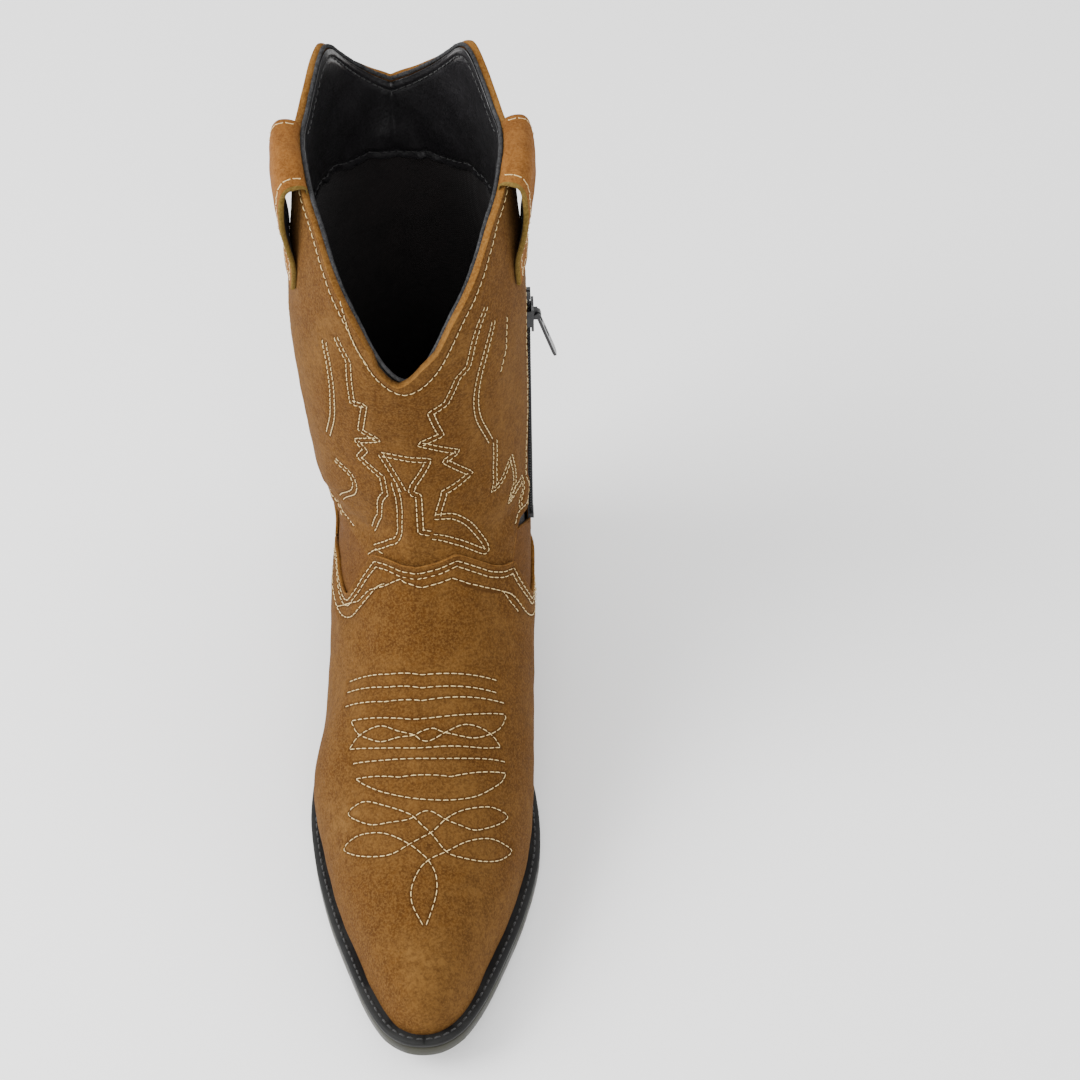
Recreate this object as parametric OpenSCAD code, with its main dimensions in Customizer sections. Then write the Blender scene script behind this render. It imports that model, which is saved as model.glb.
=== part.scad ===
// Western boot for the right foot with a short side zip. Millimetres.
// +Z is up, the toe points along -Y and the inner side of the foot faces +X.

/* [View] */
// sub-part to draw, or all

/* [Main sizes] */
// length of the outsole
sole_length = 282; // [250:1:320]
// thickness of the suede panels
leather = 1.3; // [0.8:0.1:2]
// thickness of linings and facing
lining = 0.9; // [0.5:0.1:1.5]
// toe puff and heel stiffener thickness
stiffener = 1.9; // [1:0.1:1.9]

/* [Sole and heel] */
// outsole and welt together under the upper
sole_thickness = 9; // [7:0.5:10]
// welt thickness
welt_thickness = 3; // [2:0.5:4]
// how far the welt stands out around the forepart
welt_reach = 6.1; // [4:0.1:8]
// rubber top piece on the floor
top_piece = 6; // [4:0.5:8]
// one heel lift
lift = 4.7; // [3:0.1:6]

/* [Pull straps] */
// thickness of the folded pull strap
strap_thickness = 2; // [1.2:0.1:3]
// how far the strap loop stands off the shaft
strap_loop = 6; // [4:0.5:9]

/* [Zip] */
// slider travel from closed to open
zip_travel = 84; // [60:1:88]
// pitch of the zip teeth
tooth_pitch = 2.2; // [1.5:0.1:3]
// stored angle of the puller away from the zip
puller_tilt = 20; // [5:1:40]

/* [Hidden] */
// inner faces of the layers, measured inward from the boot surface
lining_out = 2.6;
facing_out = lining_out + lining + 0.3;
k = sole_length / 282;
tiny = 0.1;
pin_play = 0.06;

// The boot surface. Each row is one slanted section from the front ridge to the back line:
// front x y z, back x y z, widest half widths (outer, inner side),
// half widths at the back line (outer, inner side), narrowing toward the back.
SECTIONS = [
    [0, -136.6, 21,     0, -136.6, 21,     0, 0,       0, 0,        0],
    [0, -135, 29.2,     0, -135.2, 20.5,   5.8, 5.8,   5.8, 5.8,    0],
    [0, -129.5, 35,     0, -130, 19.5,     11.4, 11.4, 11.4, 11.4,  0],
    [0, -118, 40,       0, -118.5, 17,     17.4, 17.8, 17.4, 17.8,  0],
    [0, -100, 46,       0, -100, 13.5,     24.8, 25.8, 24.3, 25.3,  0],
    [0, -76, 54,        0, -76, 10.5,      33.2, 34.8, 32.3, 33.8,  0],
    [0, -50, 65,        0, -50, 9,         39.8, 40.8, 38.3, 39.8,  0],
    [0, -28, 78,        0, -26, 9,         42.8, 42.8, 40.8, 39.8,  0],
    [0, -10, 92,        0, 2, 10,          40.2, 44.4, 39, 36,      0.02],
    [0, 4, 104.2,       0, 30, 16.5,       38.4, 45.4, 33.5, 31,    0.06],
    [0, 12, 113.5,      0, 60, 29,         37.4, 46.8, 30, 29,      0.12],
    [0, 16.5, 123,      0, 88, 40.5,       37.4, 47.8, 28.5, 28.5,  0.18],
    [0, 19, 131,        0, 110, 44.8,       38, 48.6, 28.5, 28.5,    0.22],
    [0, 20.5, 137.5,    0, 125, 46.3,      39, 48.6, 23.5, 24,      0.24],
    [0, 21.5, 143,      0, 135, 47.2,      40, 48.4, 13, 13,        0.25],
    [0, 22.2, 148,      0, 138, 47.5,      41.5, 48, 0, 0,          0.25],
    [0, 23, 155,        0, 141, 62,        43, 47.8, 0, 0,          0.22],
    [0, 23.5, 163,      0, 141, 82,        44, 47.5, 0, 0,          0.16],
    [-0.5, 24, 173,     -0.5, 138, 110,    44.5, 47.5, 0, 0,        0.1],
    [-1, 24, 185,       -2, 136.5, 140,    44.5, 47.3, 0, 0,        0.05],
    [-1, 24, 201,       -3.6, 138, 172,    44, 47.2, 0, 0,          0.02],
    [-1.3, 24, 221,     -4, 140.5, 203,    42, 46.5, 0, 0,          0],
    [-1.3, 24, 243,     -4.8, 143, 233,    38.8, 44.8, 0, 0,        0],
    [-1.3, 24, 266,     -5.6, 145, 262,    35.8, 43, 0, 0,          0],
    [-1.3, 24, 290,     -6.2, 147, 290,    33.6, 41.5, 0, 0,        0]];
last_section = len(SECTIONS) - 1;
heel_close = 15;

function mix(a, b, f) = a + (b - a) * f;
function clamp(a, lo, hi) = min(max(a, lo), hi);
function steps(n) = [for (i = [0 : n]) i / n];
function unit(a) = a / norm(a);

// the section before the toe tip mirrors the first one so that the tip is rounded
function toe_mirror() =
    let (a = SECTIONS[1])
    [a[0], a[1], 2 * SECTIONS[0][2] - a[2], a[3], a[4], a[5], -a[6], -a[7], -a[8], -a[9], a[10]];
function section_at(i) = i < 0 ? toe_mirror()
    : i > last_section ? 2 * SECTIONS[last_section] - SECTIONS[last_section - 1]
    : SECTIONS[i];
function smooth(a, b, c, d, f) =
    0.5 * (2 * b + (c - a) * f + (2 * a - 5 * b + 4 * c - d) * f * f
    + (3 * b - a - 3 * c + d) * f * f * f);
function section(t) =
    let (tt = clamp(t, 0, last_section), i = min(floor(tt), last_section - 1), f = tt - i)
    smooth(section_at(i - 1), section_at(i), section_at(i + 1), section_at(i + 2), f);

// the outer side of the instep slopes, the inner side is fuller
function fullness(t) = clamp((t - 4) / 4, 0, 1) * clamp((20 - t) / 6, 0, 1);
function power(t, side) = side < 0 ? 1 + 0.22 * fullness(t) : 1 - 0.08 * fullness(t);
// the heel is blunter than the rest of the section
function heel_round(t) = clamp((t - 12) / 2, 0, 1) * clamp((20 - t) / 4, 0, 1);
function wrap(v) = v > 1 ? v - 2 : v < -1 ? v + 2 : v;

// the sections are drawn about the middle of the sole, which stands this far from the box's middle
middle_x = -4;

// point of the boot surface: t runs from the toe to the top, v from -1 (outer side, back line)
// over 0 (front ridge) to 1 (inner side, back line); v beyond 1 goes on round the back
function place(t, vv) =
    let (v = wrap(vv), s = section(t), side = v < 0 ? -1 : 1)
    let (m0 = max(side < 0 ? s[6] : s[7], 0.0001), e0 = max(side < 0 ? s[8] : s[9], 0))
    let (e = e0 / (1 - s[10]), m = max(m0, e), q = power(t, side), heel = heel_round(t))
    let (last = 180 - asin(pow(min(e / m, 0.99999), 1 / mix(q, 0.8, heel))), a = abs(v) * last)
    let (f = (1 - cos(a)) / (1 - cos(last)), p = mix(q, 0.8, heel * f * f))
    let (x = m * pow(abs(sin(a)), p) * (1 - s[10] * f * f) * side)
    k * [x + mix(s[0], s[3], f) + middle_x, mix(s[1], s[4], f), mix(s[2], s[5], f)];

// outward normal of the surface
function inside_v(t, v) = t >= heel_close ? v : v > 1 && v < 1.05 ? 1 : v < -1 && v > -1.05 ? -1 : v;
function normal(t, v) = t < 0.05 ? [0, -1, 0] :
    let (h = 0.004, tl = max(t - h, 0.001), th = min(t + h, last_section))
    let (a = place(t, inside_v(t, v + h)) - place(t, inside_v(t, v - h)), b = place(th, v) - place(tl, v))
    unit(cross(a, b));
function raised(t, v, o) = place(t, v) + o * normal(t, v);

// a closed shell between two offsets of a patch; rows and columns come from at(a, h) = [t, v]
function tri_pair(a, b, c, d) = [[a, b, c], [a, c, d]];
module shell(at, columns, rows, low, high) {
    nc = len(columns);
    nr = len(rows);
    tv = [for (h = rows) for (a = columns) at(a, h)];
    normals = [for (q = tv) normal(q[0], q[1])];
    base = [for (q = tv) place(q[0], q[1])];
    n = nc * nr;
    points = concat([for (i = [0 : n - 1]) base[i] + high * normals[i]],
        [for (i = [0 : n - 1]) base[i] + low * normals[i]]);
    outer = [for (r = [0 : nr - 2]) for (c = [0 : nc - 2])
        let (i = r * nc + c) each tri_pair(i, i + nc, i + nc + 1, i + 1)];
    inner = [for (f = outer) [f[2] + n, f[1] + n, f[0] + n]];
    left = [for (r = [0 : nr - 2]) let (i = r * nc) each tri_pair(i, i + n, i + n + nc, i + nc)];
    right = [for (r = [0 : nr - 2]) let (i = r * nc + nc - 1)
        each tri_pair(i, i + nc, i + n + nc, i + n)];
    bottom = [for (c = [0 : nc - 2]) let (i = c) each tri_pair(i, i + 1, i + n + 1, i + n)];
    top = [for (c = [0 : nc - 2]) let (i = (nr - 1) * nc + c)
        each tri_pair(i, i + n, i + n + 1, i + 1)];
    polyhedron(points, concat(outer, inner, left, right, bottom, top));
}

// the same shell for pieces that start in one point at the toe tip
module toe_shell(at, columns, rows, low, high) {
    nc = len(columns);
    nr = len(rows);
    tv = [for (h = rows) for (a = columns) at(a, h)];
    n = nc * nr;
    tip = place(0, 0);
    ahead = [0, -1, 0];
    points = concat([for (q = tv) raised(q[0], q[1], high)], [for (q = tv) raised(q[0], q[1], low)],
        [tip + high * ahead, tip + low * ahead]);
    to = 2 * n;
    ti = 2 * n + 1;
    outer = [for (r = [0 : nr - 2]) for (c = [0 : nc - 2])
        let (i = r * nc + c) each tri_pair(i, i + nc, i + nc + 1, i + 1)];
    inner = [for (f = outer) [f[2] + n, f[1] + n, f[0] + n]];
    fan_out = [for (c = [0 : nc - 2]) [to, c, c + 1]];
    fan_in = [for (c = [0 : nc - 2]) [ti, c + 1 + n, c + n]];
    left = [for (r = [0 : nr - 2]) let (i = r * nc) each tri_pair(i, i + n, i + n + nc, i + nc)];
    right = [for (r = [0 : nr - 2]) let (i = r * nc + nc - 1)
        each tri_pair(i, i + nc, i + n + nc, i + n)];
    top = [for (c = [0 : nc - 2]) let (i = (nr - 1) * nc + c)
        each tri_pair(i, i + n, i + n + 1, i + 1)];
    tips = concat(tri_pair(to, ti, n, 0), tri_pair(to, nc - 1, nc - 1 + n, ti));
    polyhedron(points, concat(outer, inner, fan_out, fan_in, left, right, top, tips));
}

// columns that hit every corner of an edge given as [v, t] points
function edge_columns(edge, step) =
    concat([for (i = [0 : len(edge) - 2])
        let (a = edge[i][0], b = edge[i + 1][0], n = ceil((b - a) / step - 0.01))
        for (j = [0 : n - 1]) mix(a, b, j / n)],
    [edge[len(edge) - 1][0]]);

/* ---- cutting lines of the upper ---- */

// top edge of the vamp: throat dip, two peaks, side notches and the rear seam
VAMP_TOP = [[-1, 10], [-0.68, 11.3], [-0.61, 11.1], [-0.56, 10.7], [-0.515, 10.1], [-0.49, 9.85],
    [-0.45, 9.75], [-0.4, 9.95], [-0.36, 10.2], [-0.32, 10.45], [-0.275, 10.75], [-0.2, 10.6],
    [-0.1, 10.27], [0, 10.15], [0.06, 10.33], [0.125, 10.7], [0.2, 10.45], [0.26, 10.3],
    [0.315, 10.32], [0.375, 10.5], [0.41, 10.2], [0.46, 10.0], [0.53, 9.85], [0.58, 10.15],
    [0.61, 10.7], [0.65, 11.1], [0.7, 11.3], [1, 10]];
// bottom edge of the shaft panels, hidden below the vamp and the counter
TUCK = [[0, 9.5], [0.12, 9.7], [0.275, 9.7], [0.36, 9.5], [0.45, 9.1], [0.53, 9.2], [0.62, 10.2],
    [0.7, 11.3], [0.8, 13], [0.9, 15], [0.96, 16.3], [1, 17]];
// top edge of the boot
TOPLINE = [[0, 20.1], [0.04, 20.3], [0.085, 20.8], [0.13, 21.4], [0.2, 22], [0.29, 22.8],
    [0.42, 23.25], [0.52, 23.2], [0.6, 23.1], [0.66, 23.35], [0.71, 23.65], [0.75, 23.6],
    [0.8, 23.3], [0.86, 23], [0.93, 22.75], [1, 22.6]];
// depth of the topline facing, deepest at the back corners
FACING_DEPTH = [[0, 0.45], [0.45, 0.5], [0.56, 1.6], [0.66, 1.85], [0.72, 2.1], [0.8, 1.8],
    [0.9, 1.35], [1, 1.15]];
// side edges of the front panel and of the rear panel as [t, v]
FRONT_EDGE_OUTER = [[9, 0.3], [10.65, 0.31], [11.3, 0.39], [11.75, 0.48], [12.2, 0.535], [13, 0.52],
    [15, 0.48], [18, 0.47], [21, 0.5], [24, 0.52]];
FRONT_EDGE_INNER = [[9, 0.37], [10.55, 0.38], [11.5, 0.4], [12, 0.43], [12.5, 0.5], [13, 0.488],
    [14, 0.432], [15, 0.388], [16, 0.39], [17, 0.402], [18, 0.423], [19, 0.446], [20, 0.468],
    [20.55, 0.482], [20.85, 0.514], [24, 0.529]];
REAR_EDGE_INNER = [[9, 0.372], [10.55, 0.382], [11.5, 0.404], [11.65, 0.45], [11.85, 0.62],
    [12, 0.63], [12.5, 0.6], [13, 0.569], [14, 0.503], [15, 0.453], [16, 0.454], [17, 0.466],
    [18, 0.489], [19, 0.514], [20, 0.537], [20.55, 0.55], [20.85, 0.52], [24, 0.532]];
// top edge of the heel counter as [t, v] from the side seam to the back
COUNTER_TOP = [[0, 18.2, 1], [0.12, 17.6, 0.97], [0.3, 16.2, 0.915], [0.5, 14.5, 0.84],
    [0.7, 13, 0.765], [0.85, 12, 0.715], [1, 11.33, 0.685]];

// lower edges of the upper end just above the welt
feather = 0.99;
function vamp_top(v) = lookup(v, VAMP_TOP);
function tuck(v) = lookup(abs(wrap(v)), TUCK);
function topline(v) = lookup(abs(wrap(v)), TOPLINE);
function counter_t(a) = lookup(a, [for (p = COUNTER_TOP) [p[0], p[1]]]);
function counter_v(a) = lookup(a, [for (p = COUNTER_TOP) [p[0], p[2]]]);

// heel pieces: a runs from the outer side seam (-1) round the back to the inner one (1),
// h from the sole edge to the top edge
function heel_at(a, h) =
    let (b = abs(a), low = heel_close - (heel_close - 10.02) * b)
    let (t = mix(low, counter_t(b), h), v = mix(b > 0.02 ? feather : 1, counter_v(b), h))
    [t, a < 0 ? -v : v];

module vamp() color([0.62, 0.4, 0.2])
    toe_shell(function (a, h) [vamp_top(a) * h, a * feather], edge_columns(VAMP_TOP, 0.05),
        concat([0.035, 0.08, 0.13], [for (i = [2 : 19]) i / 19 * 0.9 + 0.1]), tiny, leather + tiny);

module toe_puff() color([0.8, 0.78, 0.7])
    toe_shell(function (a, h) [h * (4.6 - 0.5 * a * a), a * 0.97], [for (s = steps(16)) 2 * s - 1],
        [0.12, 0.3, 0.5, 0.75, 1], -stiffener - tiny, -tiny);

module vamp_backer() color([0.85, 0.83, 0.78])
    shell(function (a, h) [mix(4.75, 9.0, h), a * mix(0.9, 0.86, h)], [for (s = steps(14)) 2 * s - 1],
        steps(8), -0.3 - lining, -0.3);

VAMP_LINING_TOP = [[0, 9.4], [0.7, 9.4], [0.748, 10.95], [1, 9.97]];
module vamp_lining() color([0.16, 0.14, 0.13])
    toe_shell(function (a, h) [h * lookup(abs(a), VAMP_LINING_TOP), a],
        [-1, -0.93, -0.86, -0.8, -0.748, -0.7, -0.62, -0.52, -0.4, -0.27, -0.13, 0,
            0.13, 0.27, 0.4, 0.52, 0.62, 0.7, 0.748, 0.8, 0.86, 0.93, 1],
        [0.03, 0.08, 0.15, 0.24, 0.34, 0.44, 0.54, 0.63, 0.72, 0.81, 0.9, 1],
        -lining_out - lining, -lining_out);

module heel_counter() color([0.6, 0.38, 0.19])
    shell(function (a, h) heel_at(-a, h), [for (s = steps(32)) 2 * s - 1], steps(10),
        tiny, leather + tiny);

module heel_stiffener() color([0.82, 0.79, 0.7])
    shell(function (a, h) heel_at(-a, h), [for (s = steps(24)) (2 * s - 1) * 0.96],
        [for (s = steps(6)) mix(0.03, 0.54, s)], -stiffener - tiny, -tiny);

module heel_grip() color([0.15, 0.13, 0.12])
    shell(function (a, h) heel_at(-a, h), [for (s = steps(24)) 2 * s - 1],
        [for (s = steps(6)) mix(0.02, 0.76, s)], -lining_out - lining, -lining_out);

module shaft_front() color([0.63, 0.41, 0.2])
    shell(function (a, h)
        let (low = tuck(mix(-0.33, 0.38, a)), high = topline(mix(-0.51, 0.525, a)))
        let (t = mix(low, high, h))
        [t, mix(-lookup(t, FRONT_EDGE_OUTER), lookup(t, FRONT_EDGE_INNER), a)],
        steps(24), steps(26), -leather, 0);

// how strongly a column follows an edge of its panel, fading with distance from that edge
function near(a, width) = max(0, 1 - a / width);
function rear_v(t, a) = mix(0.53, 1.49, a) + near(a, 0.25) * (lookup(t, REAR_EDGE_INNER) - 0.53)
    + near(1 - a, 0.25) * (0.508 - lookup(t, FRONT_EDGE_OUTER));
// heights that every column of the rear panel passes, so that its notch edge stays sharp
function rear_levels(a) = let (low = tuck(rear_v(9.6, a)))
    [low, max(11.5, low + 0.1), max(11.67, low + 0.2), max(11.85, low + 0.3), max(12, low + 0.4),
        topline(rear_v(23.2, a))];
module shaft_back() color([0.6, 0.38, 0.19])
    shell(function (a, h)
        let (at = rear_levels(a), i = min(floor(h), 4), t = mix(at[i], at[i + 1], h - i))
        [t, rear_v(t, a)],
        steps(34), concat([0, 0.25, 0.5, 0.75, 1, 2, 3], [for (s = steps(19)) 4 + s]), -leather, 0);

// linings of the shaft open at the zip; the slit closes to a butt seam above and below it
SLIT_FRONT = [[9, 0.56], [11.3, 0.565], [12, 0.53], [12.5, 0.512], [13, 0.482], [14, 0.426],
    [15, 0.383], [16, 0.385], [17, 0.397], [18, 0.418], [19, 0.442], [20, 0.465], [20.7, 0.482],
    [21, 0.518], [24, 0.528]];
SLIT_REAR = [[9, 0.572], [11.3, 0.578], [12, 0.636], [12.5, 0.606], [13, 0.576], [14, 0.51],
    [15, 0.46], [16, 0.461], [17, 0.472], [18, 0.494], [19, 0.518], [20, 0.54], [20.7, 0.555],
    [21, 0.522], [24, 0.534]];
LINING_LOW = [[0, 9.47], [0.69, 9.47], [0.735, 11.3], [0.748, 11.4], [0.772, 12.1], [0.812, 13.05],
    [0.872, 14.4], [0.932, 15.95], [0.976, 17.25], [1, 17.8]];
function lining_low(v) = lookup(abs(wrap(v)), LINING_LOW);

function lining_v(t, a) = mix(0.576, 2.563, a) + near(a, 0.15) * (lookup(t, SLIT_REAR) - 0.576)
    + near(1 - a, 0.15) * (lookup(t, SLIT_FRONT) - 0.563);
module shaft_lining() color([0.13, 0.12, 0.12])
    shell(function (a, h)
        let (low = lining_low(mix(0.576, 2.563, a)), high = topline(lining_v(23.2, a)) - 0.13)
        let (t = mix(low, high, h)) [t, lining_v(t, a)],
        steps(48), steps(13), -lining_out - lining, -lining_out);

module topline_facing() color([0.1, 0.1, 0.11])
    shell(function (a, h)
        let (v = mix(0.53, 2.524, a), high = topline(v) - 0.05)
        [mix(high - lookup(abs(wrap(v)), FACING_DEPTH), high, h), v],
        steps(60), steps(3), -facing_out - lining, -facing_out);

// round cord set on the edge of lining and facing
module topline_piping() color([0.2, 0.2, 0.22]) {
    n = 88;
    r = 0.75;
    sides = 6;
    points = [for (i = [0 : n - 1])
        let (v = 2 * i / n - 1, t = topline(v), o = normal(t, v))
        let (c = place(t, v) - (lining_out + lining / 2 + 0.2) * o)
        let (up = unit(place(min(t + 0.05, last_section), v) - place(t, v)))
        for (j = [0 : sides - 1]) c + r * (cos(60 * j) * o + sin(60 * j) * up)];
    faces = [for (i = [0 : n - 1]) for (j = [0 : sides - 1])
        let (a = i * sides + j, b = i * sides + (j + 1) % sides)
        let (c = ((i + 1) % n) * sides + (j + 1) % sides, d = ((i + 1) % n) * sides + j)
        each tri_pair(a, b, c, d)];
    polyhedron(points, faces);
}

// pull strap: tucked behind the panel, over the top edge, down the outside in a flat loop
STRAP_PATH = [[-0.38, -2.05, 0.25], [-0.05, -2.05, 0.25], [0.06, -2, 0.3], [0.125, -1, 0.45],
    [0.16, 1, 0.8], [0.165, 3.6, 1], [0.14, 6.6, 1], [0.06, 8.8, 1], [-0.06, 9.8, 1],
    [-0.24, 10, 1], [-0.5, 9.6, 1], [-0.78, 8.2, 1], [-1.08, 5.8, 1], [-1.35, 3.5, 1],
    [-1.56, 2.4, 1], [-1.74, 2.2, 1], [-1.88, 2.2, 1]];
T_RISE = 25;
module pull_strap(side) {
    columns = 6;
    rows = len(STRAP_PATH);
    stretch = (strap_loop + strap_thickness) / 10;
    spot = function (a, r, under)
        let (q = STRAP_PATH[r], v = side * mix(0.36, 0.54, a))
        let (o = q[1] > 2.2 ? 2.2 + (q[1] - 2.2) * stretch : q[1])
        let (p = STRAP_PATH[max(r - 1, 0)], s = STRAP_PATH[min(r + 1, rows - 1)])
        let (inward = unit([p[1] - s[1], T_RISE * (s[0] - p[0])]))
        let (w = under ? strap_thickness * q[2] : 0)
        raised(min(topline(v) + q[0] + w * inward[0] / T_RISE, last_section), v, o + w * inward[1]);
    points = [for (layer = [false, true]) for (r = [0 : rows - 1]) for (c = [0 : columns])
        spot(c / columns, r, layer)];
    nc = columns + 1;
    n = nc * rows;
    outer = [for (r = [0 : rows - 2]) for (c = [0 : columns - 1])
        let (i = r * nc + c) each tri_pair(i, i + 1, i + nc + 1, i + nc)];
    inner = [for (f = outer) [f[2] + n, f[1] + n, f[0] + n]];
    left = [for (r = [0 : rows - 2]) let (i = r * nc) each tri_pair(i, i + nc, i + n + nc, i + n)];
    right = [for (r = [0 : rows - 2]) let (i = r * nc + nc - 1)
        each tri_pair(i, i + n, i + n + nc, i + nc)];
    start = [for (c = [0 : nc - 2]) each tri_pair(c, c + n, c + n + 1, c + 1)];
    finish = [for (c = [0 : nc - 2]) let (i = (rows - 1) * nc + c)
        each tri_pair(i, i + 1, i + n + 1, i + n)];
    all = concat(outer, inner, left, right, start, finish);
    polyhedron(points, side > 0 ? all : [for (f = all) [f[2], f[1], f[0]]]);
}
module pull_strap_outer() color([0.66, 0.42, 0.2]) pull_strap(-1);
module pull_strap_inner() color([0.66, 0.42, 0.2]) pull_strap(1);

/* ---- sole and heel ---- */

function back_line(t) = place(t, 1);
SOLE_LINE = concat([[-160, 25.4]], [for (i = [0 : 60]) let (p = back_line(i / 5) / k) [p[1], max(p[2], 9)]],
    [[118, 45.6], [125, 46.1], [150, 46.4]]);
function sole_height(y) = lookup(y / k, SOLE_LINE) * k;
function reach(y) = lookup(y / k, [[-140, welt_reach], [-30, welt_reach], [10, 5], [45, 3], [70, 1.8],
    [140, 1.8]]);

// outline point beside the upper's lower edge, moved out by d
function edge_point(t, side, d) =
    let (p = place(t, side), q = place(t + 0.01, side), o = place(max(t - 0.01, 0), side))
    let (g = unit([q[0] - o[0], q[1] - o[1]]))
    [p[0] + side * g[1] * d, p[1] - side * g[0] * d];
function sole_point(t, side, d, z) = let (p = edge_point(t, side, d)) [p[0], p[1], sole_height(p[1]) + z];
function welt_point(t, side, z) = sole_point(t, side, reach(place(t, side)[1]), z);

SOLE_T = [0.02, 0.1, 0.22, 0.38, 0.6, 0.85, 1.15, 1.5, 2, 2.5, 3, 3.5, 4, 4.5, 5, 5.5, 6, 6.5, 7, 7.5,
    8, 8.5, 9, 9.5, 10, 10.5, 11, 11.5, 12, 12.5, 13, 13.4, 13.8, 14.1, 14.4, 14.6, 14.8, 14.92, 14.98];
function part_t(low, high) = concat([low], [for (t = SOLE_T) if (t > low + 0.05 && t < high - 0.05) t],
    [high]);

// solid between two faces; top and bottom give the point on each side of the foot
module slab(ts, top, bottom) {
    n = len(ts);
    points = concat([for (t = ts) top(t, -1)], [for (t = ts) top(t, 1)],
        [for (t = ts) bottom(t, -1)], [for (t = ts) bottom(t, 1)]);
    faces = concat(
        [for (i = [0 : n - 2]) each tri_pair(i, i + 1, n + i + 1, n + i)],
        [for (i = [0 : n - 2]) each tri_pair(3 * n + i, 3 * n + i + 1, 2 * n + i + 1, 2 * n + i)],
        [for (i = [0 : n - 2]) each tri_pair(i, 2 * n + i, 2 * n + i + 1, i + 1)],
        [for (i = [0 : n - 2]) each tri_pair(n + i, n + i + 1, 3 * n + i + 1, 3 * n + i)],
        tri_pair(0, n, 3 * n, 2 * n),
        tri_pair(n - 1, 3 * n - 1, 4 * n - 1, 2 * n - 1));
    polyhedron(points, faces);
}

// strip with four corners swept along a path
module strip(path) {
    n = len(path);
    points = [for (p = path) each p];
    sides = [for (i = [0 : n - 2]) for (j = [0 : 3])
        let (a = 4 * i + j, b = 4 * i + (j + 1) % 4) each tri_pair(a, a + 4, b + 4, b)];
    last = 4 * (n - 1);
    polyhedron(points, concat(sides, tri_pair(0, 1, 2, 3), tri_pair(last + 3, last + 2, last + 1, last)));
}
function welt_corners(t, side, inner) = [welt_point(t, side, 0), welt_point(t, side, -welt_thickness),
    sole_point(t, side, -inner, -welt_thickness), sole_point(t, side, -inner, 0)];

breast_t = 10.15;
module outsole() color([0.07, 0.07, 0.07])
    slab(SOLE_T, function (t, s) welt_point(t, s, -welt_thickness - tiny),
        function (t, s) welt_point(t, s, -sole_thickness));

module welt() color([0.09, 0.09, 0.09]) {
    ts = part_t(0.02, breast_t);
    n = len(ts);
    strip(concat([for (i = [n - 1 : -1 : 0]) welt_corners(ts[i], -1, 6)],
        [for (t = ts) welt_corners(t, 1, 6)]));
}

module heel_rand() color([0.08, 0.08, 0.08]) {
    ts = part_t(breast_t + 0.03, 14.98);
    n = len(ts);
    strip(concat([for (t = ts) welt_corners(t, 1, 6)],
        [for (i = [n - 1 : -1 : 0]) welt_corners(ts[i], -1, 6)]));
}

module forepart_filler() color([0.55, 0.42, 0.28])
    slab(part_t(0.9, 8.1), function (t, s) sole_point(t, s, -6.2, -tiny),
        function (t, s) sole_point(t, s, -6.2, -welt_thickness));

module tuck_board() color([0.5, 0.4, 0.3])
    slab(part_t(8.2, 14.9), function (t, s) sole_point(t, s, -6.2, -tiny),
        function (t, s) sole_point(t, s, -6.2, -1.4));

shank_under = 1.7;
function shank_point(t, s, z) =
    let (p = back_line(t), w = (6 + 1.5 * cos(60 * (t - 9.9))) * k) [s * w + middle_x * k, p[1], sole_height(p[1]) + z];
module shank() color([0.62, 0.63, 0.65])
    slab(part_t(8.5, 11.3), function (t, s) shank_point(t, s, -shank_under),
        function (t, s) shank_point(t, s, -shank_under - 1.3));

module shank_rivets() color([0.75, 0.75, 0.76])
    for (y = [26, 92])
        translate([middle_x * k, y * k, sole_height(y * k) - 2.2])
            cylinder(d = 4, h = 1.2, $fn = 24);

module insole_board() color([0.6, 0.5, 0.38])
    slab(part_t(1, 14.6), function (t, s) sole_point(t, s, -4.5, 2.4),
        function (t, s) sole_point(t, s, -4.5, tiny));

module insock() color([0.1, 0.09, 0.09])
    slab(part_t(0.8, 14.9), function (t, s) sole_point(t, s, -4.7, 3.7),
        function (t, s) sole_point(t, s, -4.7, 2.5));

// the heel narrows and slopes forward toward the floor
heel_front = 64;
function heel_shape(t, s, z, out) =
    let (p = sole_point(t, s, out, -sole_thickness - tiny), q = clamp((p[2] - z) / (40 * k), 0, 1.2))
    let (y = heel_front * k + (p[1] - heel_front * k) * (1 - 0.14 * q) + 3 * q * (1 - p[1] / (140 * k)))
    [middle_x * k + (p[0] - middle_x * k) * (1 - 0.13 * q), y, z];
HEEL_T = part_t(breast_t, 14.98);
wedge_low = top_piece + 3 * (lift + tiny);

module heel_wedge() color([0.08, 0.07, 0.07])
    slab(HEEL_T, function (t, s) sole_point(t, s, 1.6, -sole_thickness - tiny),
        function (t, s) heel_shape(t, s, wedge_low, 1.6));
module heel_lift(level) {
    low = top_piece + tiny + level * (lift + tiny);
    slab(HEEL_T, function (t, s) heel_shape(t, s, low + lift - tiny, 1.6),
        function (t, s) heel_shape(t, s, low, 1.6));
}
module heel_lift_top() color([0.1, 0.09, 0.08]) heel_lift(2);
module heel_lift_mid() color([0.08, 0.07, 0.07]) heel_lift(1);
module heel_lift_low() color([0.1, 0.09, 0.08]) heel_lift(0);
module heel_top_piece() color([0.05, 0.05, 0.05])
    slab(HEEL_T, function (t, s) heel_shape(t, s, top_piece, 1.4),
        function (t, s) heel_shape(t, s, 0, 1.4));

module heel_screw() color([0.7, 0.7, 0.72])
    translate([middle_x * k, 102 * k, 0]) {
        low = top_piece + 4;
        high = sole_height(97 * k) + 2.2;
        translate([0, 0, low]) cylinder(d = 4, h = high - low - 0.5, $fn = 24);
        translate([0, 0, high - 1.6]) cylinder(d = 9, h = 1.6, $fn = 32);
    }

/* ---- zip, in its own straight frame: x outward, y toward the back, z up the zip ---- */

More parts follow.
